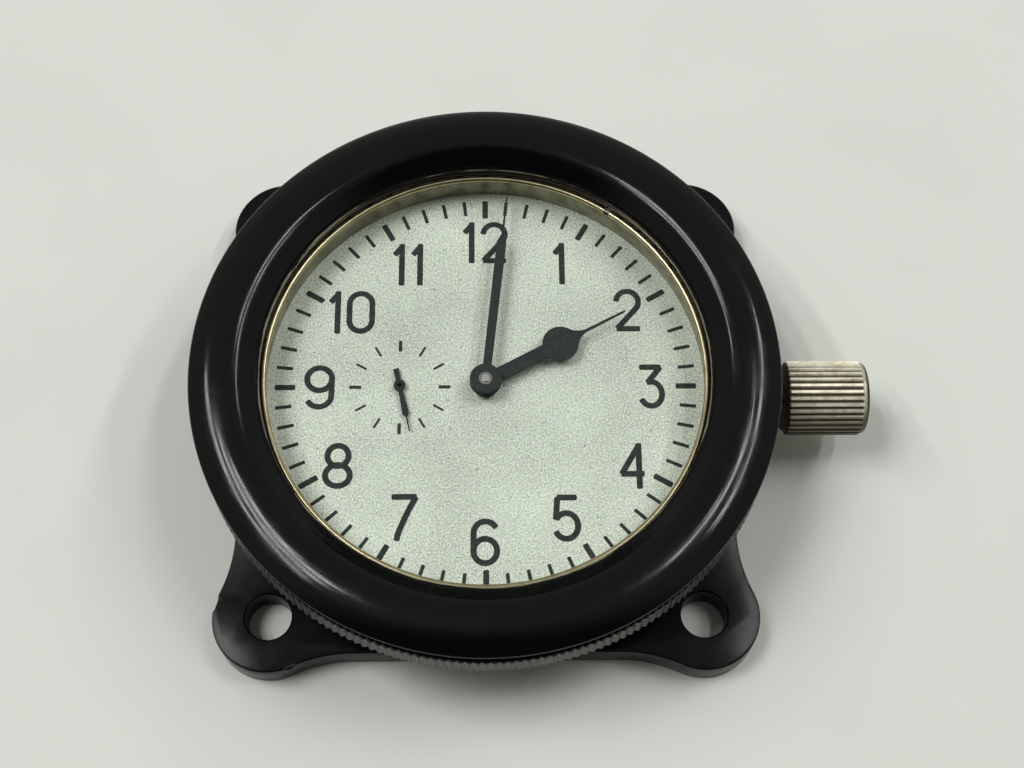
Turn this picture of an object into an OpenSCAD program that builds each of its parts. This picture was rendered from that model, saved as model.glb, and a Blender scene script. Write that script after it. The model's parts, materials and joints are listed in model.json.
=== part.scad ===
// Aircraft clock: flanged case, knurled bezel, dial with small seconds, stem-wound lever movement.
// Millimetres. The back face lies on Z = 0, +Z looks out of the dial, +Y to twelve, +X to the crown.

/* [Case] */
// Distance between bolt hole centres, both ways
bolt_spacing = 58; // [54:0.5:66]
// Diameter of each bolt hole
bolt_hole_d = 6.2; // [4:0.1:8]
// Radius of each ear round its bolt hole
ear_r = 7.5; // [6:0.1:9]
// Thickness of the mounting flange
flange_t = 4.8; // [3:0.1:6]
// Radius of the hollow curve between an ear and a side
flange_fillet_r = 20; // [14:0.5:26]
// Outside diameter of the case cup
case_d = 68; // [66:0.5:74]
// Height of the cup rim over the back face
case_h = 17; // [16:0.1:20]
// Thickness of the cup wall
case_wall = 3; // [2.5:0.1:4]
// Depth of the cup below its rim
cup_depth = 14.4; // [14.25:0.05:15.4]

/* [Bezel and glass] */
// Radius of the round section of the bezel
bezel_section_r = 4.45; // [4.2:0.05:5]
// How far the bezel crest stands outside the cup
bezel_crest_out = 0.55; // [0.4:0.05:1]
// How far the flat lip reaches in from the round section
lip_reach = 0.8; // [0.5:0.05:1.1]
// Thickness of the flat lip over the split wire
lip_t = 0.4; // [0.3:0.05:0.8]
// Thickness of the knurled skirt, teeth included
skirt_wall = 4.75; // [4:0.05:5]
// How far the knurled skirt reaches below the cup rim
skirt_drop = 3; // [2.5:0.05:4.95]
// Width of the plain groove over the knurl
groove_w = 2.9; // [2:0.05:3]
// Depth of the plain groove over the knurl
groove_depth = 0.7; // [0.4:0.05:1.2]
// Number of knurl teeth on the skirt
knurl_count = 228; // [120:1:260]
// Depth of the knurl
knurl_depth = 0.3; // [0.1:0.05:0.5]
// Thickness of the seal under the bezel
seal_t = 0.4; // [0.2:0.05:1]
// Thickness of the glass
glass_t = 1.2; // [0.8:0.05:2]
// How far the glass edge lies inside the cup wall
glass_inset = 1.35; // [1.1:0.05:1.4]
// Diameter of the split wire that holds the glass
wire_d = 0.8; // [0.5:0.05:1.2]
// Gap between the ends of the split wire, in degrees
wire_gap = 1.5; // [0.5:0.1:4]
// Thickness of the wall of the rehaut ring
rehaut_wall = 1.45; // [1.2:0.05:2]

/* [Dial and hands] */
// Thickness of the dial
dial_t = 0.45; // [0.3:0.05:0.8]
// Hour hand, degrees clockwise from twelve
hour_angle = 61.5; // [0:0.5:360]
// Minute hand, degrees clockwise from twelve
minute_angle = 6.3; // [0:0.1:360]
// Seconds hand, degrees clockwise from twelve
seconds_angle = 167.8; // [0:0.1:360]
// Length of the minute hand
minute_len = 27.6; // [25:0.1:28.5]
// Length of the broad blade of the minute hand
minute_blade_len = 20.6; // [16:0.1:23]
// Length of the hour hand
hour_len = 21.55; // [18:0.05:24]
// Radius of the round bulb of the hour hand
hour_bulb_r = 2.45; // [1.8:0.05:3]
// Distance of the bulb from the centre
hour_bulb_at = 11.5; // [10:0.1:13]
// Length of the seconds hand
seconds_len = 6.65; // [5.5:0.05:7.5]
// Thickness of the hour and minute hands
hand_t = 0.3; // [0.2:0.05:0.4]

/* [Crown] */
// Depth of the winding stem below the cup rim
stem_drop = 7.15; // [7.05:0.05:7.3]
// Diameter of the crown
crown_d = 10.14; // [8:0.02:11]
// Length of the crown
crown_len = 11.4; // [8:0.1:14]
// Gap between the bezel and the crown
crown_gap = 1.4; // [0.8:0.1:4]
// Number of grooves round the crown
crown_grooves = 34; // [20:1:40]
// Travel of the crown when it is pulled out
crown_pull = 1.2; // [0.8:0.05:1.4]

/* [Movement] */
// Diameter of the main plate
plate_d = 43; // [42.6:0.1:44]
// Thickness of the main plate
plate_t = 1.5; // [1.3:0.05:1.6]
// Distance of the small seconds from the centre
seconds_at = 11.53; // [11.3:0.01:11.8]
// Height of the space between plate and bridges
train_space = 3.5; // [3.45:0.05:3.7]
// Thickness of the bridges
bridge_t = 1.4; // [1.2:0.05:1.6]
// Module of the centre wheel teeth
centre_m = 0.15; // [0.148:0.001:0.152]
// Module of the third wheel teeth
third_m = 0.14; // [0.138:0.001:0.142]
// Module of the fourth wheel teeth
fourth_m = 0.11; // [0.108:0.001:0.112]
// Module of the barrel teeth
barrel_m = 0.21; // [0.205:0.001:0.212]
// Radius of the escape wheel
escape_r = 3.2; // [3:0.05:3.3]
// Radius of the balance rim
balance_r = 7; // [6.5:0.1:7.2]

/* [Hidden] */
$fn = 96;

// Clearances: a piece fixed in its seat, and a shaft that turns in its bore
fit = 0.02;
run = 0.05;
// Overshoot of a cut past the face it opens
eps = 0.1;

// Case
case_r = case_d / 2;
case_in_r = case_r - case_wall;
case_floor = case_h - cup_depth;
ear_at = bolt_spacing / 2;
bolt_chamfer = 0.4;
// Centre of the hollow curve that touches the side line and an ear
fillet_x = case_r + flange_fillet_r;
fillet_y = ear_at - sqrt(pow(flange_fillet_r + ear_r, 2) - pow(fillet_x - ear_at, 2));

// Levels from the back face up
stem_z = case_h - stem_drop;
plate_bot = stem_z + 0.75;
plate_top = plate_bot + plate_t;
motion_space = 1.35;
dial_bot = plate_top + motion_space;
dial_top = dial_bot + dial_t;
shoulder_z = case_h + seal_t;
glass_top = shoulder_z + glass_t;
lip_z = glass_top + wire_d;
bridge_top = plate_bot - train_space;
bridge_bot = bridge_top - bridge_t;

// Bezel and glass
skirt_in_r = case_r + run;
skirt_r = skirt_in_r + skirt_wall;
skirt_z = case_h - skirt_drop;
knurl_rise = 1.1;
groove_z = case_h + knurl_rise;
bezel_r = case_r + bezel_crest_out;
bezel_out_r = bezel_r + bezel_section_r;
lip_in_r = bezel_r - bezel_section_r - lip_reach;
mid_rise = 0.3;
bezel_mid_z = lip_z + mid_rise;
glass_r = case_in_r - glass_inset;
glass_edge = 0.1;
rehaut_out_r = case_in_r - 0.1;
rehaut_in_r = rehaut_out_r - rehaut_wall;
dial_inset = 0.4;
dial_r = rehaut_out_r - dial_inset;
wire_r = wire_d / 2;
wire_at = glass_r - wire_r;
// The ends of the split wire lie a little right of twelve
wire_gap_at = 55;
seal_inset = 0.2;

// Movement ring and plate
plate_r = plate_d / 2;
ring_wall = 1.5;
ring_ledge = 0.7;
ring_ledge_t = 1;
clamp_at = plate_r + 1.2;
clamp_head_r = 1.7;
clamp_r = 0.8;
clamp_depth = 2.1;
clamp_angles = [60, 180, 300];
foot_at = plate_r - 2;
foot_r = 0.5;
foot_depth = 1.1;
foot_angles = [75, 195, 315];
foot_screw_r = 0.4;
head_t = 0.6;
slot_w = 0.35;
slot_depth = 0.25;

// Tooth counts
centre_n = 80;
third_n = 75;
fourth_n = 80;
barrel_n = 80;
pinion_n = 10;
escape_pinion_n = 8;
escape_n = 15;
cannon_n = 12;
minute_n = 36;
minute_pinion_n = 10;
hour_n = 40;
setting_n = 24;
wind_n = 12;
crown_wheel_n = 24;
ratchet_n = 44;
// Modules of the motion works and of the winding wheels
motion_m = 0.2;
hour_m = motion_m * (cannon_n + minute_n) / (minute_pinion_n + hour_n);
wind_m = 0.3333;
// Tooth shape: heights in modules, widths as shares of the pitch
addendum = 0.8;
dedendum = 1.15;
tooth_root = 0.5;
tooth_tip = 0.2;

// Places of the arbors in plan
function polar(r, a) = [r * cos(a), r * sin(a)];
function pitch_sum(m, a, b) = m * (a + b) / 2;
function heading(a, b) = atan2(b[1] - a[1], b[0] - a[0]);
// Point at distance r0 from the origin and r1 from [x1, 0], on the lower side
function apex_x(x1, r0, r1) = (x1 * x1 + r0 * r0 - r1 * r1) / (2 * x1);
function apex(x1, r0, r1) = [apex_x(x1, r0, r1), -sqrt(r0 * r0 - pow(apex_x(x1, r0, r1), 2))];
centre = [0, 0];
fourth = [-seconds_at, 0];
third = apex(-seconds_at, pitch_sum(centre_m, centre_n, pinion_n), pitch_sum(third_m, third_n, pinion_n));
escape = fourth + polar(pitch_sum(fourth_m, fourth_n, escape_pinion_n), -100);
lever_heading = -50;
pallet = escape + polar(escape_r / cos(30), lever_heading);
fork_to_balance = 5.4;
balance = pallet + polar(fork_to_balance, lever_heading);
barrel = polar(pitch_sum(barrel_m, barrel_n, pinion_n), 65);
winding_sum = pitch_sum(wind_m, crown_wheel_n, ratchet_n);
crown_wheel_at = [barrel[0] + sqrt(pow(winding_sum, 2) - pow(barrel[1], 2)), 0];
minute_arbor = polar(pitch_sum(motion_m, cannon_n, minute_n), -40);
setting_sum = pitch_sum(motion_m, minute_n, setting_n);
setting = [minute_arbor[0] + sqrt(pow(setting_sum, 2) - pow(minute_arbor[1], 2)), 0];

// Tooth phases: angle of one tooth of the second wheel, so that it meshes with the first
function meshed(from, to, n_a, a, n_b) =
  heading(from, to) + 180 + ((heading(from, to) - a) * n_a / 360 - 0.5) * 360 / n_b;
third_pinion_a = meshed(centre, third, centre_n, 0, pinion_n);
fourth_pinion_a = meshed(third, fourth, third_n, 0, pinion_n);
escape_pinion_a = meshed(fourth, escape, fourth_n, 0, escape_pinion_n);
barrel_a = meshed(centre, barrel, pinion_n, 0, barrel_n);
minute_a = meshed(centre, minute_arbor, cannon_n, 0, minute_n);
hour_a = meshed(minute_arbor, centre, minute_pinion_n, 0, hour_n);
setting_a = meshed(minute_arbor, setting, minute_n, minute_a, setting_n);
crown_wheel_a = 180 / crown_wheel_n;
ratchet_a = meshed(crown_wheel_at, barrel, crown_wheel_n, crown_wheel_a, ratchet_n);

// Levels of the train wheels, counted down from the plate
wheel_t = 0.3;
level_step = 0.7;
function level(k) = plate_bot - 0.15 - wheel_t - k * level_step;
pinion_over = 0.15;
arbor_r = 0.35;
pivot_r = 0.15;
pivot_len = 0.45;
jewel_r = 0.7;
jewel_t = 0.6;

// Winding wheels and barrel
winding_z = bridge_top + 0.15;
winding_t = 0.6;
winding_top = winding_z + winding_t;
ratchet_r = wind_m * ratchet_n / 2;
crown_wheel_r = wind_m * crown_wheel_n / 2;
screw_r = 1;
crown_screw_head_r = 1.8;
crown_screw_head_t = 0.25;
barrel_z = winding_top + 0.15;
barrel_top = level(0) - 0.2;
barrel_wall_r = 7.9;
barrel_in_r = 7.4;
barrel_floor = 0.3;
barrel_teeth_t = 0.6;
barrel_arbor_r = 0.7;
barrel_hub_r = 1.5;
barrel_neck_r = 0.9;
arbor_square = 1.3;
spring_strip = 0.25;
spring_turns = 8;
spring_in_r = barrel_hub_r + 0.2;
spring_out_r = barrel_in_r - 0.15;

// Click
click_heading = 150;
click_reach = 2.6;
click_at = barrel + polar(ratchet_r + click_reach, click_heading);
click_post_r = 0.5;
click_boss_r = 1.1;
click_t = 0.5;
click_gap = 0.12;

// Escapement
escape_root_r = escape_r - 0.75;
pallet_gap = 0.26;
fork_len = 4.36;
fork_hub_r = 0.42;
roller_r = 1.05;
roller_z = level(3) - 0.55;
roller_t = 0.4;
impulse_at = 0.78;
impulse_r = 0.13;
balance_z = bridge_top - 0.9;
balance_t = 0.85;
balance_rim = 0.9;
balance_screws = 12;
balance_screw_r = 0.3;
balance_screw_out = 0.5;
balance_room = 0.4;
balance_clear_r = balance_r + balance_screw_out + balance_room;
staff_r = 0.4;
hair_z = balance_z - 0.9;
hair_h = 0.3;
hair_strip = 0.12;
hair_turns = 6;
collet_r = 0.8;
hair_in_r = collet_r + 0.2;
hair_out_r = 4.6;
cock_t = 1.4;
cock_top = hair_z - 0.6;
cock_bot = cock_top - cock_t;
cock_foot = [4.5, -14];
cock_foot_r = 2.6;
cock_end_r = 2.2;
stud_r = 0.4;
pallet_cock_t = 0.4;
pallet_cock_top = level(3) - 0.3;
pallet_foot = pallet - polar(4.2, lever_heading + 90);
pallet_foot_r = 1.3;

// Bridge pillars and their screws
pillar_r = 1.7;
pillar_at = 18.4;
barrel_pillars = [for (a = [24, 95, 152]) polar(pillar_at, a)];
train_pillars = [for (a = [172, 205]) polar(pillar_at, a)];
bridge_screw_r = 0.6;
bridge_head_r = 1.2;
bridge_screw_in = 1;
bridge_r = plate_r - 1.2;
bridge_split_x = -3.25;
bridge_split_y = 4.35;
bridge_low_y = -2.4;
bridge_gap = 0.3;

// Motion works
recess_z = plate_top - 0.9;
recess_room = 0.2;
motion_z = recess_z + 0.1;
motion_t = 0.4;
hour_z = plate_top + 0.1;
hour_wheel_t = 0.3;
centre_r = 0.7;
hand_arbor_r = 0.53;
cannon_r = 0.9;
hour_pipe_in_r = cannon_r + run;
hour_pipe_r = 1.3;
post_r = 0.4;
hour_hand_z = dial_top + 1.7;
minute_hand_z = dial_top + 2.45;
minute_hub_r = 2.1;
minute_hub_t = 0.55;
hand_pin_top = minute_hand_z + minute_hub_t + 0.15;
seconds_arbor_r = 0.3;
seconds_hand_z = dial_top + 0.45;
seconds_hub_r = 0.8;
seconds_hub_t = 0.35;
seconds_hand_t = 0.2;
dial_centre_hole_r = hour_pipe_r + 0.3;
dial_seconds_hole_r = seconds_arbor_r + 0.2;

// Winding and setting, along the stem
crown_x = bezel_out_r + crown_gap;
crown_r = crown_d / 2;
crown_end_x = crown_x + crown_len;
crown_cone_len = 1.5;
crown_knurl_x = crown_x + crown_cone_len;
crown_groove_depth = 0.35;
crown_pocket_r = 2.3;
crown_pocket_len = 4.2;
crown_pocket_x = crown_x + crown_pocket_len;
stem_grip = 6.5;
stem_end_x = crown_x + stem_grip;
tube_r = 2;
tube_bore_r = 1.3;
tube_cover = 2.2;
tube_end_x = crown_x + tube_cover;
tube_inner_x = case_in_r + 0.05;
seal_pocket_r = 1.65;
seal_pocket_len = 1.4;
stem_seal_len = 1.2;
stem_r = 1.05;
stem_square = 1.4;
pilot_r = 0.5;
pilot_len = 1.9;
pilot_block_w = 2.2;
wind_face_gap = 0.09;
wind_x = crown_wheel_at[0] + crown_wheel_r - dedendum * wind_m + wind_face_gap;
wind_teeth_len = 0.87;
wind_len = 1.52;
wind_r = wind_m * wind_n / 2;
wind_tip_r = wind_r + 0.2;
clutch_x = wind_x - 2.68;
clutch_end_x = wind_x - run;
clutch_r = 1.9;
clutch_slide = 0.7;
pilot_end_x = clutch_x - clutch_slide - 0.3;
pilot_x = pilot_end_x - pilot_len;
pilot_block_x = [pilot_x - 0.1, pilot_end_x - 0.2];
clutch_groove_x = clutch_x + 1.2;
clutch_groove_w = 0.5;
clutch_groove_r = 1.3;
dog_r = [1.2, 1.5];
dog_angle = 18;
dog_len = 0.3;
dog_count = 6;
dog_room = 5;
lever_groove_x = wind_x + wind_len + 0.35;
lever_groove_w = 0.5;
lever_groove_r = 0.65;
outer_block_x = [lever_groove_x + lever_groove_w + crown_pull + 0.1, plate_r - 1.1];
outer_block_w = 4.4;
window_x = [pilot_end_x - 0.1, outer_block_x[0]];
window_w = 4.7;
lever_z = plate_top + 0.1;
lever_t = 0.4;
lever_w = 1.4;
lever_stud_r = 0.2;
lever_stud_at = [lever_groove_x + lever_groove_w / 2, 0];
lever_pivot = lever_stud_at - [0, 5];
yoke_finger_w = 0.3;
yoke_finger_at = [clutch_groove_x + clutch_groove_w / 2, 0];
yoke_pivot = yoke_finger_at + [0, 7];
leaf_w = 0.5;
leaf_room = 0.25;
lever_spring_foot = lever_pivot - [5.5, 2.5];
yoke_spring_foot = yoke_pivot + [3.2, 2.6];
spring_foot_r = 1;

// A rod, a tube and a turned shape along Z or along the stem
module rod(r, z0, z1) {
  translate([0, 0, z0]) cylinder(r = r, h = z1 - z0);
}

module tube(r_out, r_in, z0, z1) {
  difference() {
    rod(r_out, z0, z1);
    rod(r_in, z0 - eps, z1 + eps);
  }
}

module slab(z0, z1) {
  translate([0, 0, z0]) linear_extrude(z1 - z0) children();
}

module at(p) {
  translate([p[0], p[1], 0]) children();
}

// Turns what is drawn along Z so that it lies along X, at stem height
module on_stem() {
  translate([0, 0, stem_z]) rotate([0, 90, 0]) children();
}

// A bar with round ends between two points in plan
module bar(p, q, w) {
  translate(p) rotate(heading(p, q)) translate([0, -w / 2]) square([norm(q - p), w]);
  translate(p) circle(w / 2);
  translate(q) circle(w / 2);
}

// A screw with a slotted head: the head rests on z, the shank runs along +Z for len
module screw_up(r, head_r, z, len) {
  difference() {
    union() {
      rod(r, z, z + len);
      rod(head_r, z - head_t, z);
    }
    slot_cut(head_r, z - head_t - eps, z - head_t + slot_depth);
  }
}

module slot_cut(head_r, z0, z1) {
  translate([-head_r - eps, -slot_w / 2, z0]) cube([2 * (head_r + eps), slot_w, z1 - z0]);
}

// Outline of a toothed wheel, with one tooth centred on angle a
function teeth(n, m, a, add = addendum) = [
  for (i = [0:n - 1], k = [[0, -tooth_root], [1, -tooth_tip], [1, tooth_tip], [0, tooth_root]])
    polar(m * n / 2 + (k[0] == 1 ? add : -dedendum) * m, a + (i + k[1] / 2) * 360 / n)
];

module gear(n, m, a, z0, z1) {
  slab(z0, z1) polygon(teeth(n, m, a));
}

// A train wheel: toothed rim, hub and crossed spokes
module crossed_wheel(n, m, a, z, hub_r, spokes) {
  rim_in_r = m * (n / 2 - dedendum) - 0.5;
  slab(z, z + wheel_t) {
    difference() {
      polygon(teeth(n, m, a));
      circle(rim_in_r);
    }
    circle(hub_r);
    spoke_set(spokes, rim_in_r + 0.1, 0.5);
  }
}

module spoke_set(count, len, w) {
  for (i = [0:count - 1])
    rotate(i * 360 / count) translate([0, -w / 2]) square([len, w]);
}

// An arbor from bridge to plate, with a pivot at each end
module train_arbor() {
  rod(arbor_r, bridge_top + run, plate_bot - run);
  rod(pivot_r, bridge_top - pivot_len, plate_bot + pivot_len);
}

// A flat spiral strip
function spiral(r0, r1, turns, side) = [
  for (i = [0:turns * 24]) polar(r0 + side + (r1 - r0) * i / (turns * 24), i * 15)
];

function reversed(list) = [for (i = [len(list) - 1:-1:0]) list[i]];

module spiral_strip(r0, r1, turns, w) {
  polygon(concat(spiral(r0, r1, turns, 0), reversed(spiral(r0, r1, turns, w))));
}

// Case and glazing
module flange_outline() {
  fillets = [[fillet_x, fillet_y], [fillet_y, fillet_x]];
  for (q = [0:3]) rotate(90 * q) {
    difference() {
      polygon([[0, 0], [case_r, 0], [case_r, fillet_y], fillets[0], [ear_at, ear_at],
        fillets[1], [fillet_y, case_r], [0, case_r]]);
      for (c = fillets) translate(c) circle(flange_fillet_r);
    }
    translate([ear_at, ear_at]) circle(ear_r);
  }
}

module bolt_hole() {
  hole_r = bolt_hole_d / 2;
  rod(hole_r, -eps, flange_t + eps);
  translate([0, 0, flange_t - bolt_chamfer])
    cylinder(r1 = hole_r, r2 = hole_r + bolt_chamfer + eps, h = bolt_chamfer + eps);
}

module case_body() {
  color("#1d1e1e") difference() {
    union() {
      linear_extrude(flange_t) flange_outline();
      rod(case_r, 0, case_h);
    }
    rod(case_in_r, case_floor, case_h + eps);
    for (q = [0:3]) rotate(90 * q) at([ear_at, ear_at]) bolt_hole();
    on_stem() rod(tube_r + fit, 0, case_r + eps);
  }
}

module knurl_outline() {
  root_r = skirt_r - knurl_depth;
  difference() {
    polygon([for (i = [0:2 * knurl_count - 1])
      polar(i % 2 == 0 ? skirt_r : root_r, i * 180 / knurl_count)]);
    circle(skirt_in_r);
  }
}

module bezel() {
  groove_r = skirt_r - knurl_depth - groove_depth;
  color("#161717") {
    slab(skirt_z, groove_z) knurl_outline();
    rotate_extrude() difference() {
      union() {
        translate([bezel_r, bezel_mid_z]) circle(bezel_section_r);
        translate([lip_in_r, lip_z]) square([bezel_r - lip_in_r, lip_t]);
        translate([skirt_in_r, groove_z - groove_w])
          square([groove_r - skirt_in_r, bezel_mid_z - groove_z + groove_w]);
        translate([glass_r, shoulder_z]) square([bezel_r - glass_r, bezel_mid_z - shoulder_z]);
      }
      square([glass_r + glass_edge, lip_z]);
      square([skirt_in_r, shoulder_z]);
      square([bezel_out_r + eps, groove_z - groove_w]);
      translate([groove_r, 0]) square([bezel_section_r, groove_z + groove_w]);
    }
  }
}

module bezel_seal() {
  color("#2b2b2b") tube(case_r - seal_inset, case_in_r + seal_inset, case_h, shoulder_z);
}

module glass() {
  color("#e8f0f0", 0.3) rod(glass_r, shoulder_z, glass_top);
}

module glass_ring() {
  color("#c9a24a") rotate(wire_gap_at + wire_gap / 2) rotate_extrude(angle = 360 - wire_gap)
    translate([wire_at, glass_top + wire_r]) circle(wire_r, $fn = 24);
}

module rehaut_ring() {
  color("#cfc9b4") tube(rehaut_out_r, rehaut_in_r, dial_top, shoulder_z);
}

// Dial and hands
module dial() {
  color("#d9dcd2") {
    difference() {
      rod(dial_r, dial_bot, dial_top);
      rod(dial_centre_hole_r, dial_bot - eps, dial_top + eps);
      at(fourth) rod(dial_seconds_hole_r, dial_bot - eps, dial_top + eps);
    }
    for (a = foot_angles) at(polar(foot_at, a)) rod(foot_r, plate_top - foot_depth, dial_bot);
  }
}

// A needle with round hub, drawn to twelve and turned clockwise
module needle(base, tip, base_half, tip_half) {
  polygon([[-base_half, base], [-tip_half, tip], [tip_half, tip], [base_half, base]]);
}

module minute_hand() {
  point = minute_blade_len + 1.2;
  color("#26241f") difference() {
    rotate(-minute_angle) {
      slab(minute_hand_z, minute_hand_z + hand_t) {
        needle(0, minute_blade_len, 0.575, 0.67);
        needle(minute_blade_len, point, 0.67, 0.17);
        needle(point, minute_len, 0.17, 0.1);
      }
      rod(minute_hub_r, minute_hand_z, minute_hand_z + minute_hub_t);
    }
    rod(cannon_r + fit, minute_hand_z - eps, hand_pin_top);
  }
}

module hour_hand() {
  needle_half = 0.18;
  needle_at = hour_bulb_at + 4.3;
  curve_r = (pow(needle_at - hour_bulb_at, 2) + needle_half * needle_half - hour_bulb_r * hour_bulb_r)
    / (2 * (hour_bulb_r - needle_half));
  curve_x = needle_half + curve_r;
  z0 = hour_hand_z;
  z1 = hour_hand_z + hand_t;
  color("#26241f") difference() {
    rotate(-hour_angle) {
      rod(minute_hub_r, z0, z1);
      slab(z0, z1) needle(0, hour_bulb_at - hour_bulb_r / 2, 0.97, 0.97);
      at([0, hour_bulb_at]) rod(hour_bulb_r, z0, z1);
      slab(z0, z1) difference() {
        polygon([[0, hour_bulb_at], [-curve_x, needle_at], [curve_x, needle_at]]);
        for (s = [-1, 1]) translate([s * curve_x, needle_at]) circle(curve_r + fit);
      }
      slab(z0, z1) needle(needle_at - eps, hour_len, needle_half, 0.1);
    }
    rod(hour_pipe_r + fit, z0 - eps, z1 + eps);
  }
}

module seconds_hand() {
  body_end = 4.1;
  tail = -2.5;
  color("#26241f") at(fourth) difference() {
    rotate(-seconds_angle) {
      slab(seconds_hand_z, seconds_hand_z + seconds_hand_t) {
        needle(tail, 0, 0.4, 0.28);
        needle(0, body_end, 0.28, 0.45);
        needle(body_end, body_end + 0.5, 0.45, 0.12);
        needle(body_end + 0.5, seconds_len, 0.12, 0.08);
      }
      rod(seconds_hub_r, seconds_hand_z, seconds_hand_z + seconds_hub_t);
    }
    rod(seconds_arbor_r + fit, seconds_hand_z - eps, seconds_hand_z + seconds_hub_t + eps);
  }
}

// Crown and stem
module crown() {
  round_r = 0.9;
  root_r = crown_r - crown_groove_depth;
  knurl_end_x = crown_end_x - round_r;
  color("#b9b199") on_stem() difference() {
    union() {
      slab(crown_knurl_x, knurl_end_x) polygon([for (i = [0:2 * crown_grooves - 1], side = [-1, 1])
        polar(i % 2 == 0 ? crown_r : root_r, (i + side * (i % 2 == 0 ? 0.32 : 0.12)) * 180 / crown_grooves)]);
      translate([0, 0, crown_x]) cylinder(r1 = crown_r - 1.3, r2 = root_r, h = crown_knurl_x - crown_x);
      rotate_extrude() translate([0, knurl_end_x]) {
        square([root_r - round_r, round_r]);
        intersection() {
          translate([root_r - round_r, 0]) circle(round_r);
          square(root_r);
        }
      }
    }
    rod(crown_pocket_r, crown_x - eps, crown_pocket_x);
    rod(stem_r + fit, crown_x, stem_end_x + fit);
  }
}

module crown_tube() {
  color("#8d8a80") on_stem() difference() {
    rod(tube_r, tube_inner_x, tube_end_x);
    rod(tube_bore_r, tube_inner_x - eps, tube_end_x + eps);
    rod(seal_pocket_r, tube_end_x - seal_pocket_len, tube_end_x + eps);
  }
}

module stem_seal() {
  seal_x = tube_end_x - seal_pocket_len;
  color("#3a3a38") on_stem()
    tube(seal_pocket_r - fit, stem_r + run, seal_x, seal_x + stem_seal_len);
}

module winding_stem() {
  square_end_x = clutch_end_x;
  color("#9a9a98") on_stem() {
    rod(pilot_r, pilot_x, pilot_end_x);
    translate([-stem_square / 2, -stem_square / 2, pilot_end_x])
      cube([stem_square, stem_square, square_end_x - pilot_end_x]);
    rod(stem_r, square_end_x, lever_groove_x);
    rod(lever_groove_r, lever_groove_x, lever_groove_x + lever_groove_w);
    rod(stem_r, lever_groove_x + lever_groove_w, stem_end_x);
  }
}

// Movement ring and its screws
module movement_ring() {
  wall_in_r = rehaut_out_r - ring_wall;
  shelf_z = plate_bot - ring_ledge_t;
  color("#a5a7a6") difference() {
    rotate_extrude() {
      translate([wall_in_r, case_floor]) square([ring_wall, dial_bot - case_floor]);
      translate([plate_r + run, shelf_z]) square([wall_in_r - plate_r, plate_top - shelf_z]);
      translate([plate_r - ring_ledge, shelf_z]) square([ring_ledge + 2 * run, ring_ledge_t]);
    }
    for (a = clamp_angles) at(polar(clamp_at, a)) rod(clamp_r + fit, plate_top - clamp_depth, plate_top + eps);
    on_stem() rod(tube_bore_r, plate_r - ring_ledge - 1, rehaut_out_r + eps);
  }
}

module clamp_screws() {
  color("#6f7072") for (a = clamp_angles) at(polar(clamp_at, a)) difference() {
    union() {
      rod(clamp_r, plate_top - clamp_depth, plate_top);
      rod(clamp_head_r, plate_top, plate_top + head_t);
    }
    slot_cut(clamp_head_r, plate_top + head_t - slot_depth, plate_top + head_t + eps);
  }
}

// Short screws run in from the plate edge and grip the dial feet
module dial_foot_screws() {
  color("#6f7072") for (a = foot_angles) rotate(a) foot_screw_place()
    rod(foot_screw_r, foot_at + foot_r + run, plate_r - run);
}

module foot_screw_place() {
  translate([0, 0, plate_top - foot_depth / 2 - 0.1]) rotate([0, 90, 0]) children();
}

// Plates and bridges
jewelled = [third, fourth, escape, pallet];

module main_plate() {
  color("#b8b28c") difference() {
    union() {
      rod(plate_r, plate_bot, plate_top);
      stem_block(pilot_block_x, pilot_block_w, 0.95);
      stem_block(outer_block_x, outer_block_w, 1.6);
    }
    motion_recess();
    translate([window_x[0], -window_w / 2, plate_bot - eps])
      cube([window_x[1] - window_x[0], window_w, plate_t + 2 * eps]);
    on_stem() {
      rod(pilot_r + run, pilot_block_x[0] - eps, pilot_block_x[1] + eps);
      rod(stem_r + run, window_x[1] - eps, plate_r + eps);
    }
    plate_hole(centre, centre_r + run);
    plate_hole(barrel, barrel_arbor_r + run);
    for (p = concat(jewelled, [balance])) plate_hole(p, jewel_r + fit);
    for (p = concat(barrel_pillars, train_pillars, [cock_foot, pallet_foot])) at(p)
      rod(bridge_screw_r + fit, plate_bot - eps, plate_bot + bridge_screw_in + eps);
    for (a = foot_angles) {
      at(polar(foot_at, a)) rod(foot_r + fit, plate_top - foot_depth - eps, plate_top + eps);
      rotate(a) foot_screw_place() rod(foot_screw_r + fit, foot_at, plate_r + eps);
    }
  }
  color("#b8b28c") {
    at(minute_arbor) rod(post_r, recess_z - eps, hour_z + hour_wheel_t + 0.2);
    at(setting) rod(post_r, recess_z - eps, plate_top);
    for (p = [lever_pivot, yoke_pivot]) at(p) rod(post_r, plate_top - eps, lever_z + lever_t + 0.2);
  }
}

module stem_block(x, w, drop) {
  translate([x[0], -w / 2, stem_z - drop]) cube([x[1] - x[0], w, plate_bot - stem_z + drop + eps]);
}

module plate_hole(p, r) {
  at(p) rod(r, plate_bot - eps, plate_top + eps);
}

module motion_recess() {
  slab(recess_z, plate_top + eps) {
    circle(motion_m * (cannon_n / 2 + addendum) + recess_room);
    translate(minute_arbor) circle(motion_m * (minute_n / 2 + addendum) + recess_room);
    translate(setting) circle(motion_m * (setting_n / 2 + addendum) + recess_room);
  }
}

module pillars(places, z0) {
  for (p = places) at(p) rod(pillar_r, z0, plate_bot);
}

module pillar_bores(places, z0) {
  for (p = places) at(p) rod(bridge_screw_r + fit, z0 - eps, plate_bot + eps);
}

module bridge_hole(p, r) {
  at(p) rod(r, bridge_bot - eps, bridge_top + eps);
}

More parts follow.
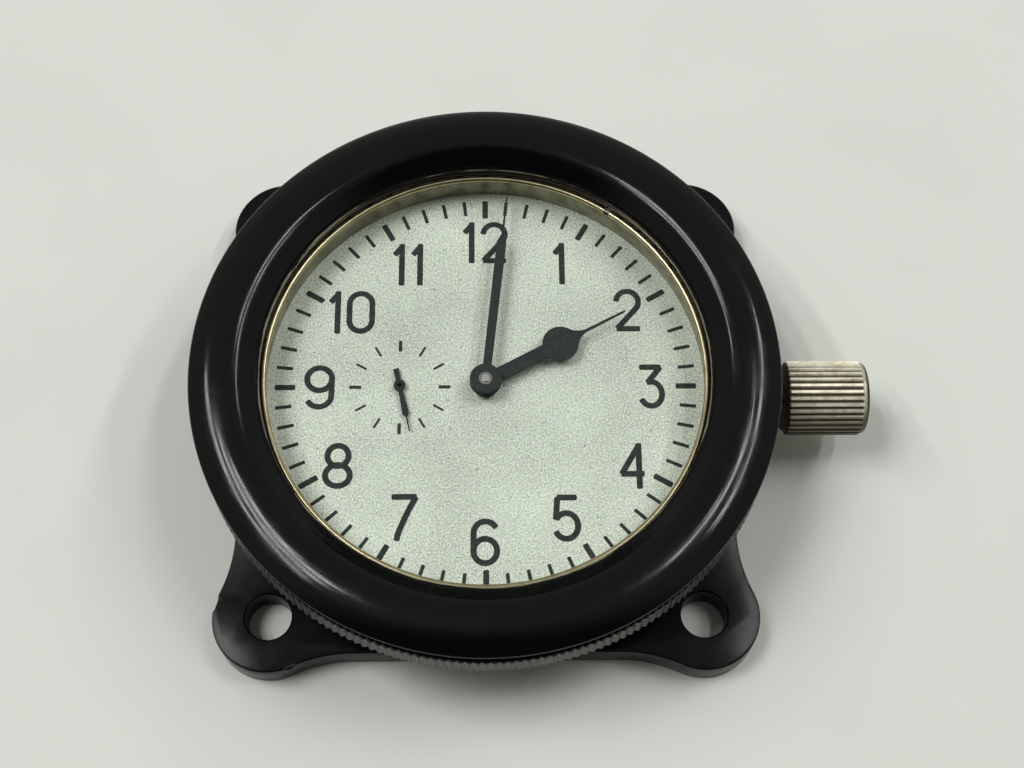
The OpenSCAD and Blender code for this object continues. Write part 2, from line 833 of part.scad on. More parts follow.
module barrel_bridge() {
  far = plate_d;
  color("#c2bb96") difference() {
    union() {
      slab(bridge_bot, bridge_top) intersection() {
        circle(bridge_r);
        polygon([[bridge_split_x, bridge_low_y], [far, bridge_low_y], [far, far], [-far, far],
          [-far, bridge_split_y], [bridge_split_x, bridge_split_y]]);
      }
      pillars(barrel_pillars, bridge_top - eps);
    }
    pillar_bores(barrel_pillars, bridge_bot);
    bridge_hole(centre, arbor_r + run);
    bridge_hole(barrel, barrel_arbor_r + run);
    bridge_hole(crown_wheel_at, screw_r + fit);
    bridge_hole(click_at, click_post_r + fit);
  }
}

module train_bridge() {
  far = plate_d;
  low = pillar_r + pillar_at * sin(25);
  edge_x = bridge_split_x - bridge_gap;
  edge_y = bridge_split_y - bridge_gap;
  color("#c2bb96") difference() {
    union() {
      slab(bridge_bot, bridge_top) difference() {
        intersection() {
          circle(bridge_r);
          polygon([[edge_x, -low], [edge_x, edge_y], [-far, edge_y], [-far, -low]]);
        }
        translate(balance) circle(balance_clear_r);
      }
      pillars(train_pillars, bridge_top - eps);
    }
    pillar_bores(train_pillars, bridge_bot);
    for (p = [third, fourth, escape]) bridge_hole(p, jewel_r + fit);
  }
}

module pallet_cock() {
  z0 = pallet_cock_top - pallet_cock_t;
  color("#c2bb96") difference() {
    union() {
      slab(z0, pallet_cock_top) {
        bar(pallet, pallet_foot, 1.8);
        translate(pallet_foot) circle(pallet_foot_r);
      }
      at(pallet_foot) rod(pallet_foot_r, z0, plate_bot);
    }
    pillar_bores([pallet_foot], z0);
    at(pallet) rod(jewel_r + fit, z0 - eps, pallet_cock_top + eps);
  }
}

module balance_cock() {
  color("#c2bb96") difference() {
    union() {
      slab(cock_bot, cock_top) {
        bar(balance, cock_foot, 2 * cock_end_r);
        translate(cock_foot) circle(cock_foot_r);
      }
      at(cock_foot) rod(cock_foot_r, cock_bot, plate_bot);
    }
    pillar_bores([cock_foot], cock_bot);
    at(balance) rod(jewel_r + fit, cock_bot - eps, cock_top + eps);
  }
}

module bridge_screws() {
  shank = plate_bot + bridge_screw_in;
  color("#5b6b8c") {
    for (p = concat(barrel_pillars, train_pillars)) at(p)
      screw_up(bridge_screw_r, bridge_head_r, bridge_bot, shank - bridge_bot);
    at(cock_foot) screw_up(bridge_screw_r, bridge_head_r, cock_bot, shank - cock_bot);
    at(pallet_foot) {
      z = pallet_cock_top - pallet_cock_t;
      rod(bridge_screw_r, z, shank);
    }
  }
}

module jewel(p, z) {
  at(p) tube(jewel_r, pivot_r + run, z, z + jewel_t);
}

module jewels() {
  color("#a3233b") {
    for (p = concat(jewelled, [balance])) if (p != fourth) jewel(p, plate_bot);
    at(fourth) tube(jewel_r, seconds_arbor_r + run, plate_bot, plate_bot + jewel_t);
    for (p = [third, fourth, escape]) jewel(p, bridge_top - jewel_t);
    at(pallet) tube(jewel_r, pivot_r + run, pallet_cock_top - pallet_cock_t, pallet_cock_top);
    jewel(balance, cock_top - jewel_t);
  }
}

// Power
module barrel_drum() {
  color("#c8a95c") at(barrel) difference() {
    union() {
      rod(barrel_wall_r, barrel_z, barrel_top);
      gear(barrel_n, barrel_m, barrel_a, barrel_z, barrel_z + barrel_teeth_t);
    }
    rod(barrel_in_r, barrel_z - eps, barrel_top - barrel_floor);
    rod(barrel_neck_r + run, barrel_z, barrel_top + eps);
  }
}

module barrel_cover() {
  color("#d2b467") at(barrel) tube(barrel_in_r - fit, barrel_neck_r + run, barrel_z, barrel_z + barrel_floor);
}

module barrel_arbor() {
  hub = [barrel_z + barrel_floor + run, barrel_top - barrel_floor - run];
  color("#9a9a98") at(barrel) {
    rod(barrel_arbor_r, bridge_bot, winding_z);
    translate([-arbor_square / 2, -arbor_square / 2, winding_z - eps])
      cube([arbor_square, arbor_square, barrel_z - winding_z + eps]);
    rod(barrel_neck_r, barrel_z - run, barrel_top + run);
    rod(barrel_hub_r, hub[0], hub[1]);
    rod(barrel_arbor_r, barrel_top, plate_top - 0.2);
  }
}

module mainspring() {
  color("#6a7078") at(barrel) slab(barrel_z + barrel_floor + 0.1, barrel_top - barrel_floor - 0.1)
    spiral_strip(spring_in_r, spring_out_r - spring_strip, spring_turns, spring_strip);
}

module ratchet_wheel() {
  hole = arbor_square + 2 * fit;
  color("#a9a59a") at(barrel) difference() {
    gear(ratchet_n, wind_m, ratchet_a, winding_z, winding_top);
    translate([-hole / 2, -hole / 2, winding_z - eps]) cube([hole, hole, winding_t + 2 * eps]);
  }
}

// The click lies just clear of the ratchet teeth, as when it is lifted
module click() {
  tip_r = ratchet_r + addendum * wind_m + click_gap;
  beak = barrel + polar(tip_r + 0.4, click_heading - 14);
  color("#8f8d88") difference() {
    slab(winding_z, winding_z + click_t) difference() {
      union() {
        translate(click_at) circle(click_boss_r);
        bar(click_at, beak, 1);
      }
      translate(barrel) circle(tip_r);
    }
    at(click_at) rod(click_post_r + run, winding_z - eps, winding_top + eps);
  }
}

module click_screw() {
  color("#5b6b8c") at(click_at) {
    rod(click_post_r, bridge_bot, winding_z + click_t + run);
    rod(click_boss_r - 0.2, winding_z + click_t + run, winding_z + click_t + run + 0.3);
  }
}

module click_spring() {
  foot = click_at + polar(4, click_heading - 60);
  side = click_at + polar(click_boss_r + leaf_room, click_heading - 40);
  color("#6a7078") slab(bridge_top, winding_z + click_t) {
    translate(foot) circle(0.8);
    bar(foot, side, 0.3);
  }
}

// Going train
module centre_wheel() {
  color("#c8a95c") {
    crossed_wheel(centre_n, centre_m, 0, level(0), 1.6, 5);
    gear(pinion_n, barrel_m, 0, barrel_z - run, barrel_z + barrel_teeth_t + 0.3);
    rod(centre_r, bridge_top + run, recess_z);
    rod(arbor_r, bridge_bot + 0.2, bridge_top + 2 * run);
    rod(hand_arbor_r, recess_z - eps, hand_pin_top);
  }
}

module third_wheel() {
  color("#c8a95c") at(third) {
    train_arbor();
    crossed_wheel(third_n, third_m, 0, level(1), 1, 4);
    gear(pinion_n, centre_m, third_pinion_a, level(0) - pinion_over, plate_bot - run);
  }
}

module fourth_wheel() {
  color("#c8a95c") at(fourth) {
    rod(arbor_r, bridge_top + run, plate_bot - run);
    rod(pivot_r, bridge_top - pivot_len, bridge_top + 2 * run);
    rod(seconds_arbor_r, plate_bot - 2 * run, seconds_hand_z + seconds_hub_t);
    crossed_wheel(fourth_n, fourth_m, 0, level(2), 0.9, 4);
    gear(pinion_n, third_m, fourth_pinion_a, level(1) - pinion_over, level(1) + wheel_t + pinion_over);
  }
}

// Club teeth lean forward, the way the wheel turns
module escape_wheel() {
  step = 360 / escape_n;
  rim_r = escape_root_r - 0.35;
  profile = [[escape_root_r, 0], [escape_r - 0.15, 0.42], [escape_r, 0.62],
    [escape_r - 0.1, 0.66], [escape_root_r, 0.4]];
  color("#b9bcc0") at(escape) {
    train_arbor();
    slab(level(3), level(3) + wheel_t) {
      difference() {
        polygon([for (i = [0:escape_n - 1], p = profile) polar(p[0], (i + p[1]) * step)]);
        circle(rim_r);
      }
      circle(0.8);
      spoke_set(4, rim_r + eps, 0.4);
    }
    gear(escape_pinion_n, fourth_m, escape_pinion_a, level(2) - pinion_over, level(2) + wheel_t + pinion_over);
  }
}

module pallet_fork() {
  stone = polar(escape_r + pallet_gap, 30) - [escape_r / cos(30), 0];
  slot = 0.5;
  color("#9a9a98") at(pallet) {
    rod(0.25, pallet_cock_top + run, plate_bot - run);
    rod(pivot_r, pallet_cock_top - pallet_cock_t + run, plate_bot + pivot_len);
    rotate(lever_heading) slab(level(3), level(3) + wheel_t) {
      circle(fork_hub_r);
      translate([0, -0.22]) square([fork_len - slot, 0.44]);
      for (s = [-1, 1]) {
        translate([fork_len - slot - 0.25, s * 0.3 - 0.16]) square([slot + 0.25, 0.32]);
        pallet_arm([stone[0], s * stone[1]], s);
      }
    }
  }
}

module pallet_arm(stone, s) {
  bar([0, 0], stone + [0.35, s * 0.3], 0.5);
  translate(stone) rotate(s * 30) translate([0, -0.2]) square([0.7, 0.4]);
}

module balance_wheel() {
  rim_in = balance_r - balance_rim;
  color("#c8a95c") at(balance) difference() {
    union() {
      slab(balance_z, balance_z + balance_t) {
        difference() {
          circle(balance_r);
          circle(rim_in);
        }
        circle(1.1);
        rotate(20) translate([-rim_in - eps, -0.5]) square([2 * (rim_in + eps), 1]);
      }
      for (i = [0:balance_screws - 1]) rotate(i * 360 / balance_screws + 15)
        translate([0, 0, balance_z + balance_t / 2]) rotate([0, 90, 0])
          rod(balance_screw_r, rim_in + 0.2, balance_r + balance_screw_out);
    }
    rod(staff_r + fit, balance_z - eps, balance_z + balance_t + eps);
  }
}

// Staff with hairspring collet, roller and impulse pin
module balance_staff() {
  color("#9a9a98") at(balance) {
    rod(staff_r, cock_top + run, plate_bot - run);
    rod(pivot_r, cock_top - pivot_len, plate_bot + pivot_len);
    rod(collet_r, hair_z - 0.1, hair_z + hair_h + 0.1);
    rod(roller_r, roller_z, roller_z + roller_t);
    rotate(lever_heading + 180) at([impulse_at, 0]) rod(impulse_r, roller_z, level(3) + wheel_t);
  }
}

module hairspring() {
  color("#4a5d86") at(balance) rotate(heading(balance, cock_foot)) slab(hair_z, hair_z + hair_h)
    spiral_strip(hair_in_r, hair_out_r, hair_turns, hair_strip);
}

module hairspring_stud() {
  stud_at = hair_out_r + hair_strip + stud_r + fit;
  color("#8f8d88") at(balance + polar(stud_at, heading(balance, cock_foot)))
    rod(stud_r, cock_top, hair_z + hair_h + 0.1);
}

module regulator() {
  arm_len = 6.5;
  pin_at = hair_out_r + hair_strip + 0.3;
  ring_r = 1.9;
  z0 = cock_bot - 0.3;
  color("#a8abb0") at(balance) rotate(heading(balance, cock_foot)) {
    slab(z0, cock_bot) {
      difference() {
        circle(ring_r);
        circle(jewel_r + 0.3);
      }
      translate([ring_r - 0.2, -0.35]) square([arm_len - ring_r, 0.7]);
      translate([-0.3, ring_r - 0.2]) square([0.6, pin_at - ring_r + 0.5]);
    }
    at([0, pin_at]) rod(0.15, z0, hair_z + hair_h + 0.05);
  }
}

// Motion works
module cannon_pinion() {
  color("#9a9a98") difference() {
    union() {
      gear(cannon_n, motion_m, 0, motion_z, motion_z + motion_t + 0.1);
      rod(cannon_r, motion_z, minute_hand_z + minute_hub_t);
    }
    rod(hand_arbor_r + fit, motion_z - eps, minute_hand_z + minute_hub_t + eps);
  }
}

module minute_wheel() {
  color("#c8a95c") at(minute_arbor) difference() {
    union() {
      gear(minute_n, motion_m, minute_a, motion_z, motion_z + motion_t);
      gear(minute_pinion_n, hour_m, 0, motion_z + motion_t - eps, hour_z + hour_wheel_t + 0.1);
    }
    rod(post_r + run, motion_z - eps, dial_bot);
  }
}

module hour_wheel() {
  color("#c8a95c") difference() {
    union() {
      gear(hour_n, hour_m, hour_a, hour_z, hour_z + hour_wheel_t);
      rod(hour_pipe_r, hour_z, hour_hand_z + hand_t + 0.1);
    }
    rod(hour_pipe_in_r, hour_z - eps, hour_hand_z + hand_t + 2 * eps);
  }
}

// Winding and setting
module dog_ring(r0, r1, angle) {
  for (i = [0:dog_count - 1]) rotate(i * 360 / dog_count + 30) intersection() {
    difference() {
      circle(r1);
      circle(r0);
    }
    polygon([[0, 0], polar(2 * r1, -angle / 2), polar(2 * r1, angle / 2)]);
  }
}

module winding_pinion() {
  color("#a9a59a") on_stem() difference() {
    union() {
      slab(wind_x, wind_x + wind_teeth_len) polygon(teeth(wind_n, wind_m, 0, (wind_tip_r - wind_r) / wind_m));
      rod(wind_r - dedendum * wind_m, wind_x, wind_x + wind_len);
    }
    rod(stem_r + run, wind_x - eps, wind_x + wind_len + eps);
    slab(wind_x - eps, wind_x + dog_len + run)
      dog_ring(dog_r[0] - run, dog_r[1] + run, dog_angle + 2 * dog_room);
  }
}

module sliding_clutch() {
  hole = stem_square + 2 * run;
  color("#a9a59a") on_stem() difference() {
    union() {
      rod(clutch_r, clutch_x, clutch_groove_x);
      rod(clutch_groove_r, clutch_groove_x - eps, clutch_groove_x + clutch_groove_w + eps);
      rod(clutch_r, clutch_groove_x + clutch_groove_w, clutch_end_x);
      slab(clutch_end_x - eps, clutch_end_x + dog_len) dog_ring(dog_r[0], dog_r[1], dog_angle);
    }
    translate([-hole / 2, -hole / 2, clutch_x - eps]) cube([hole, hole, clutch_end_x - clutch_x + 2 * eps]);
  }
}

module crown_wheel() {
  head_z = winding_top - crown_screw_head_t - fit;
  color("#a9a59a") at(crown_wheel_at) difference() {
    gear(crown_wheel_n, wind_m, crown_wheel_a, winding_z, winding_top);
    rod(screw_r + run, winding_z - eps, winding_top + eps);
    rod(crown_screw_head_r + run, head_z, winding_top + eps);
  }
}

module crown_wheel_screw() {
  color("#5b6b8c") at(crown_wheel_at) difference() {
    union() {
      rod(screw_r, bridge_bot, winding_top - crown_screw_head_t);
      rod(crown_screw_head_r, winding_top - crown_screw_head_t, winding_top);
    }
    slot_cut(crown_screw_head_r, winding_top - crown_screw_head_t / 2, winding_top + eps);
  }
}

module setting_wheel() {
  color("#a9a59a") at(setting) difference() {
    gear(setting_n, motion_m, setting_a, motion_z, motion_z + motion_t);
    rod(post_r + run, motion_z - eps, motion_z + motion_t + eps);
  }
}

module setting_lever() {
  color("#8f8d88") {
    difference() {
      slab(lever_z, lever_z + lever_t) bar(lever_pivot, lever_stud_at, lever_w);
      at(lever_pivot) rod(post_r + run, lever_z - eps, lever_z + lever_t + eps);
    }
    at(lever_stud_at) rod(lever_stud_r, stem_z + lever_groove_r + 0.1, lever_z + eps);
  }
}

module leaf_spring(foot, tip) {
  color("#6a7078") slab(plate_top, lever_z + lever_t) {
    translate(foot) circle(spring_foot_r);
    bar(foot, tip, leaf_w);
  }
}

module lever_spring() {
  leaf_spring(lever_spring_foot, lever_pivot + [-lever_w / 2 - leaf_w / 2 - leaf_room, 2.2]);
}

module yoke() {
  finger_z = stem_z + clutch_groove_r + 0.1;
  color("#8f8d88") {
    difference() {
      slab(lever_z, lever_z + lever_t) bar(yoke_pivot, yoke_finger_at, lever_w - 0.2);
      at(yoke_pivot) rod(post_r + run, lever_z - eps, lever_z + lever_t + eps);
    }
    translate([yoke_finger_at[0] - yoke_finger_w / 2, -0.45, finger_z])
      cube([yoke_finger_w, 0.9, lever_z + eps - finger_z]);
  }
}

module yoke_spring() {
  leaf_spring(yoke_spring_foot, yoke_pivot + [(lever_w - 0.2) / 2 + leaf_w / 2 + leaf_room, -3]);
}

case_body();
bezel();
bezel_seal();
glass();
glass_ring();
rehaut_ring();
dial();
hour_hand();
minute_hand();
seconds_hand();
crown();
crown_tube();
stem_seal();
winding_stem();
movement_ring();
clamp_screws();
dial_foot_screws();
main_plate();
barrel_bridge();
train_bridge();
pallet_cock();
balance_cock();
bridge_screws();
jewels();
barrel_drum();
barrel_cover();
barrel_arbor();
mainspring();
ratchet_wheel();
click();
click_screw();
click_spring();
centre_wheel();
third_wheel();
fourth_wheel();
escape_wheel();
pallet_fork();
balance_wheel();
balance_staff();
hairspring();
hairspring_stud();
regulator();
cannon_pinion();
minute_wheel();
hour_wheel();
winding_pinion();
sliding_clutch();
crown_wheel();
crown_wheel_screw();
setting_wheel();
setting_lever();
lever_spring();
yoke();
yoke_spring();
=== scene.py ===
"""Looks of an aircraft clock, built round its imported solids.

The frame is the part's own, in metres: the back lies on Z = 0, +Z looks out of the dial, +Y points
to twelve and +X to the crown. Sizes held by the classes are in millimetres.
"""

import json
import logging
import math
from dataclasses import dataclass
from enum import Enum
from typing import Callable, Mapping, Sequence

import bmesh
import bpy
from mathutils import Euler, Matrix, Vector


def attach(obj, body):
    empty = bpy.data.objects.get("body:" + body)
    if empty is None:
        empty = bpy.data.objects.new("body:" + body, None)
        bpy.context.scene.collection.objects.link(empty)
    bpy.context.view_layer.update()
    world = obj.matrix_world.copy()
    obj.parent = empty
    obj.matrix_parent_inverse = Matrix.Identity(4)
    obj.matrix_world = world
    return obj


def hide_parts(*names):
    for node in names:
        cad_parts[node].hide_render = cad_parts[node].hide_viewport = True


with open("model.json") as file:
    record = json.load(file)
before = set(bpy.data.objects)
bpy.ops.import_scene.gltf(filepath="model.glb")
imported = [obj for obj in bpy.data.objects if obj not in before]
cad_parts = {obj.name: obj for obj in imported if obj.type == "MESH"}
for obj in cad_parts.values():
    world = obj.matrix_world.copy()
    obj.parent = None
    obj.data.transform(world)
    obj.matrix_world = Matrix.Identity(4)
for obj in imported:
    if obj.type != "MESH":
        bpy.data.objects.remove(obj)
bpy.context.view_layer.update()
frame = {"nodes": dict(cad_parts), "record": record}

MM = 0.001
WELD = 1e-6
# Slack in millimetres when vertices are picked by their place
NEAR = 0.01
FULL_TURN = 2 * math.pi
Point = tuple[float, float]
log = logging.getLogger("clock")


class Cut(Enum):
    """What a boolean tool does to the body it meets."""

    ADD = "UNION"
    TAKE = "DIFFERENCE"


def linear(code: str) -> tuple[float, float, float, float]:
    """Turn an sRGB hex colour into linear RGBA.

    Args:
        code: six hex digits with a leading hash.

    Returns:
        Red, green and blue, and an alpha of one.
    """
    parts = (int(code[i:i + 2], 16) / 255 for i in (1, 3, 5))
    return (*(c / 12.92 if c <= 0.04045 else ((c + 0.055) / 1.055) ** 2.4 for c in parts), 1.0)


def per_mm(size: float) -> float:
    """Return the texture scale whose features are about this many millimetres wide."""
    return 1 / (size * MM)


def add_node(
    tree: bpy.types.NodeTree,
    kind: str,
    settings: Mapping[str, object] | None = None,
    values: Mapping[str | int, object] | None = None,
    links: Mapping[str | int, bpy.types.NodeSocket] | None = None,
) -> bpy.types.Node:
    """Add one node with its settings, plain input values and incoming links.

    Args:
        tree: node tree of a material or of the world.
        kind: Blender's name of the node type.
        settings: attributes of the node.
        values: plain input values, by socket name or number.
        links: source sockets, by the name or number of the input they feed.

    Returns:
        The new node.
    """
    node = tree.nodes.new(kind)
    for name, value in (settings or {}).items():
        setattr(node, name, value)
    for key, value in (values or {}).items():
        node.inputs[key].default_value = value
    for key, socket in (links or {}).items():
        tree.links.new(socket, node.inputs[key])
    return node


def arc(cx: float, cy: float, rx: float, ry: float, start: float, end: float, count: int = 16) -> list[Point]:
    """List points along an ellipse.

    Args:
        cx: centre, across.
        cy: centre, up.
        rx: half-width.
        ry: half-height.
        start: first angle in degrees.
        end: last angle in degrees.
        count: number of steps.

    Returns:
        count + 1 points.
    """
    turns = (math.radians(start + (end - start) * i / count) for i in range(count + 1))
    return [(cx + rx * math.cos(t), cy + ry * math.sin(t)) for t in turns]


@dataclass(frozen=True)
class Finish:
    """A surface finish: a Principled shader with plain values, dressed by its subclass."""

    name: str
    color: str
    roughness: float
    metallic: float = 0.0

    def material(self) -> bpy.types.Material:
        """Make this finish's material on first use.

        Returns:
            The material.
        """
        made = bpy.data.materials.get(self.name)
        if made:
            return made
        made = bpy.data.materials.new(self.name)
        made.use_nodes = True
        tree = made.node_tree
        tree.nodes.clear()
        shader = add_node(tree, "ShaderNodeBsdfPrincipled", values={
            "Base Color": linear(self.color), "Roughness": self.roughness, "Metallic": self.metallic})
        add_node(tree, "ShaderNodeOutputMaterial", links={"Surface": shader.outputs["BSDF"]})
        self.dress(tree, shader)
        return made

    def dress(self, tree: bpy.types.NodeTree, shader: bpy.types.Node) -> None:
        """Add the pattern of this finish; the plain one has none."""


@dataclass(frozen=True)
class Enamel(Finish):
    """Stoved black enamel on turned brass.

    Deep gloss over fine turning rings, which split each highlight into thin lines. The knurl holds
    grey dust, and the edge of the lip is rubbed down to brass.
    """

    gloss_level: float = 0.26
    rubbed: float = 0.2
    patch_mm: float = 6.0
    patch_span: Point = (0.45, 0.7)
    # Wider apart than real tool marks, so that they show
    ring_mm: float = 0.75
    ring_depth_mm: float = 0.016
    ring_run: float = 0.06
    dust_color: str = "#63655F"
    dust_top_mm: float = 18.3
    dust_fade_mm: float = 0.1
    dust_r_mm: Point = (38.45, 38.78)
    # Gain and offset that turn the patches into a film of dust
    dust_film: Point = (1.2, 0.1)
    dust_dull: float = 0.35
    brass_color: str = "#B9B29A"
    brass_r_mm: float = 29.74
    brass_z_mm: float = 20.42
    # Gain and offset by which the patches wave the edge of the bare brass
    brass_wave_mm: Point = (-0.75, 0.37)

    def dress(self, tree: bpy.types.NodeTree, shader: bpy.types.Node) -> None:
        """Ring the surface, vary its gloss, dust the knurl and bare the lip's edge.

        Args:
            tree: node tree of the material.
            shader: its Principled node.
        """
        place = add_node(tree, "ShaderNodeTexCoord").outputs["Object"]
        parts = add_node(tree, "ShaderNodeSeparateXYZ", links={"Vector": place})
        flat = add_node(tree, "ShaderNodeCombineXYZ", links={
            "X": parts.outputs["X"], "Y": parts.outputs["Y"]})
        radius = add_node(tree, "ShaderNodeVectorMath", {"operation": "LENGTH"}, links={
            0: flat.outputs["Vector"]})
        patch = add_node(tree, "ShaderNodeTexNoise", values={
            "Scale": per_mm(self.patch_mm), "Detail": 5.0, "Roughness": 0.6}, links={"Vector": place})
        gloss = add_node(tree, "ShaderNodeMapRange", values={
            "From Min": self.patch_span[0], "From Max": self.patch_span[1],
            "To Min": self.roughness, "To Max": self.rubbed}, links={"Value": patch.outputs["Fac"]})
        along = add_node(tree, "ShaderNodeVectorMath", {"operation": "SCALE"}, {"Scale": self.ring_run},
                         {0: flat.outputs["Vector"]})
        ring_at = add_node(tree, "ShaderNodeCombineXYZ", links={
            "X": radius.outputs["Value"], "Y": parts.outputs["Z"]})
        section = add_node(tree, "ShaderNodeVectorMath", {"operation": "ADD"}, links={
            0: ring_at.outputs["Vector"], 1: along.outputs["Vector"]})
        ring = add_node(tree, "ShaderNodeTexNoise", values={
            "Scale": per_mm(self.ring_mm), "Detail": 1.0}, links={"Vector": section.outputs["Vector"]})
        bump = add_node(tree, "ShaderNodeBump", values={
            "Strength": 1.0, "Distance": self.ring_depth_mm * MM}, links={"Height": ring.outputs["Fac"]})
        below = add_node(tree, "ShaderNodeMapRange", values={
            "From Min": self.dust_top_mm * MM, "From Max": (self.dust_top_mm - self.dust_fade_mm) * MM,
            "To Min": 0.0, "To Max": 1.0}, links={"Value": parts.outputs["Z"]})
        tips = add_node(tree, "ShaderNodeMapRange", values={
            "From Min": self.dust_r_mm[0] * MM, "From Max": self.dust_r_mm[1] * MM,
            "To Min": 0.0, "To Max": 1.0}, links={"Value": radius.outputs["Value"]})
        worn = add_node(tree, "ShaderNodeMath", {"operation": "MULTIPLY"}, links={
            0: below.outputs["Result"], 1: tips.outputs["Result"]})
        film = add_node(tree, "ShaderNodeMath", {"operation": "MULTIPLY_ADD", "use_clamp": True},
                        {1: self.dust_film[0], 2: self.dust_film[1]}, {0: patch.outputs["Fac"]})
        settled = add_node(tree, "ShaderNodeMath", {"operation": "MULTIPLY"}, links={
            0: worn.outputs["Value"], 1: film.outputs["Value"]})
        dusty = add_node(tree, "ShaderNodeMix", {"data_type": "RGBA"},
                         {6: linear(self.color), 7: linear(self.dust_color)}, {0: settled.outputs["Value"]})
        wave = add_node(tree, "ShaderNodeMath", {"operation": "MULTIPLY_ADD"},
                        {1: self.brass_wave_mm[0] * MM, 2: self.brass_wave_mm[1] * MM},
                        {0: patch.outputs["Fac"]})
        edge = add_node(tree, "ShaderNodeMath", {"operation": "ADD"}, links={
            0: radius.outputs["Value"], 1: wave.outputs["Value"]})
        near = add_node(tree, "ShaderNodeMath", {"operation": "LESS_THAN"}, {1: self.brass_r_mm * MM},
                        {0: edge.outputs["Value"]})
        over = add_node(tree, "ShaderNodeMath", {"operation": "GREATER_THAN"}, {1: self.brass_z_mm * MM},
                        {0: parts.outputs["Z"]})
        bare = add_node(tree, "ShaderNodeMath", {"operation": "MULTIPLY"}, links={
            0: near.outputs["Value"], 1: over.outputs["Value"]})
        tint = add_node(tree, "ShaderNodeMix", {"data_type": "RGBA"}, {7: linear(self.brass_color)},
                        {0: bare.outputs["Value"], 6: dusty.outputs[2]})
        dull = add_node(tree, "ShaderNodeMath", {"operation": "MULTIPLY_ADD", "use_clamp": True},
                        {1: self.dust_dull}, {0: worn.outputs["Value"], 2: gloss.outputs["Result"]})
        shader.inputs["Specular IOR Level"].default_value = self.gloss_level
        tree.links.new(tint.outputs[2], shader.inputs["Base Color"])
        tree.links.new(bare.outputs["Value"], shader.inputs["Metallic"])
        tree.links.new(dull.outputs["Value"], shader.inputs["Roughness"])
        tree.links.new(bump.outputs["Normal"], shader.inputs["Normal"])


@dataclass(frozen=True)
class Phenolic(Finish):
    """Moulded black phenolic: glossy skin off the mould, dulled and greyed where it was handled."""

    gloss_level: float = 0.15
    worn_color: str = "#0F1312"
    worn_roughness: float = 0.25
    mottle_mm: float = 4.0
    wear_span: Point = (0.42, 0.72)
    # Coarser than real wood flour, so that it shows
    filler_mm: float = 0.5
    filler_depth_mm: float = 0.004

    def dress(self, tree: bpy.types.NodeTree, shader: bpy.types.Node) -> None:
        """Grey the skin in cloudy patches and let the filler show as a faint grain.

        Args:
            tree: node tree of the material.
            shader: its Principled node.
        """
        place = add_node(tree, "ShaderNodeTexCoord").outputs["Object"]
        cloud = add_node(tree, "ShaderNodeTexNoise", values={
            "Scale": per_mm(self.mottle_mm), "Detail": 6.0, "Roughness": 0.65}, links={"Vector": place})
        wear = add_node(tree, "ShaderNodeMapRange", values={
            "From Min": self.wear_span[0], "From Max": self.wear_span[1], "To Min": 0.0, "To Max": 1.0},
            links={"Value": cloud.outputs["Fac"]})
        tint = add_node(tree, "ShaderNodeMix", {"data_type": "RGBA"},
                        {6: linear(self.color), 7: linear(self.worn_color)}, {0: wear.outputs["Result"]})
        gloss = add_node(tree, "ShaderNodeMapRange", values={
            "From Min": 0.0, "From Max": 1.0, "To Min": self.roughness, "To Max": self.worn_roughness},
            links={"Value": wear.outputs["Result"]})
        grain = add_node(tree, "ShaderNodeTexNoise", values={
            "Scale": per_mm(self.filler_mm), "Detail": 3.0}, links={"Vector": place})
        bump = add_node(tree, "ShaderNodeBump", values={
            "Strength": 1.0, "Distance": self.filler_depth_mm * MM}, links={"Height": grain.outputs["Fac"]})
        shader.inputs["Specular IOR Level"].default_value = self.gloss_level
        tree.links.new(tint.outputs[2], shader.inputs["Base Color"])
        tree.links.new(gloss.outputs["Result"], shader.inputs["Roughness"])
        tree.links.new(bump.outputs["Normal"], shader.inputs["Normal"])


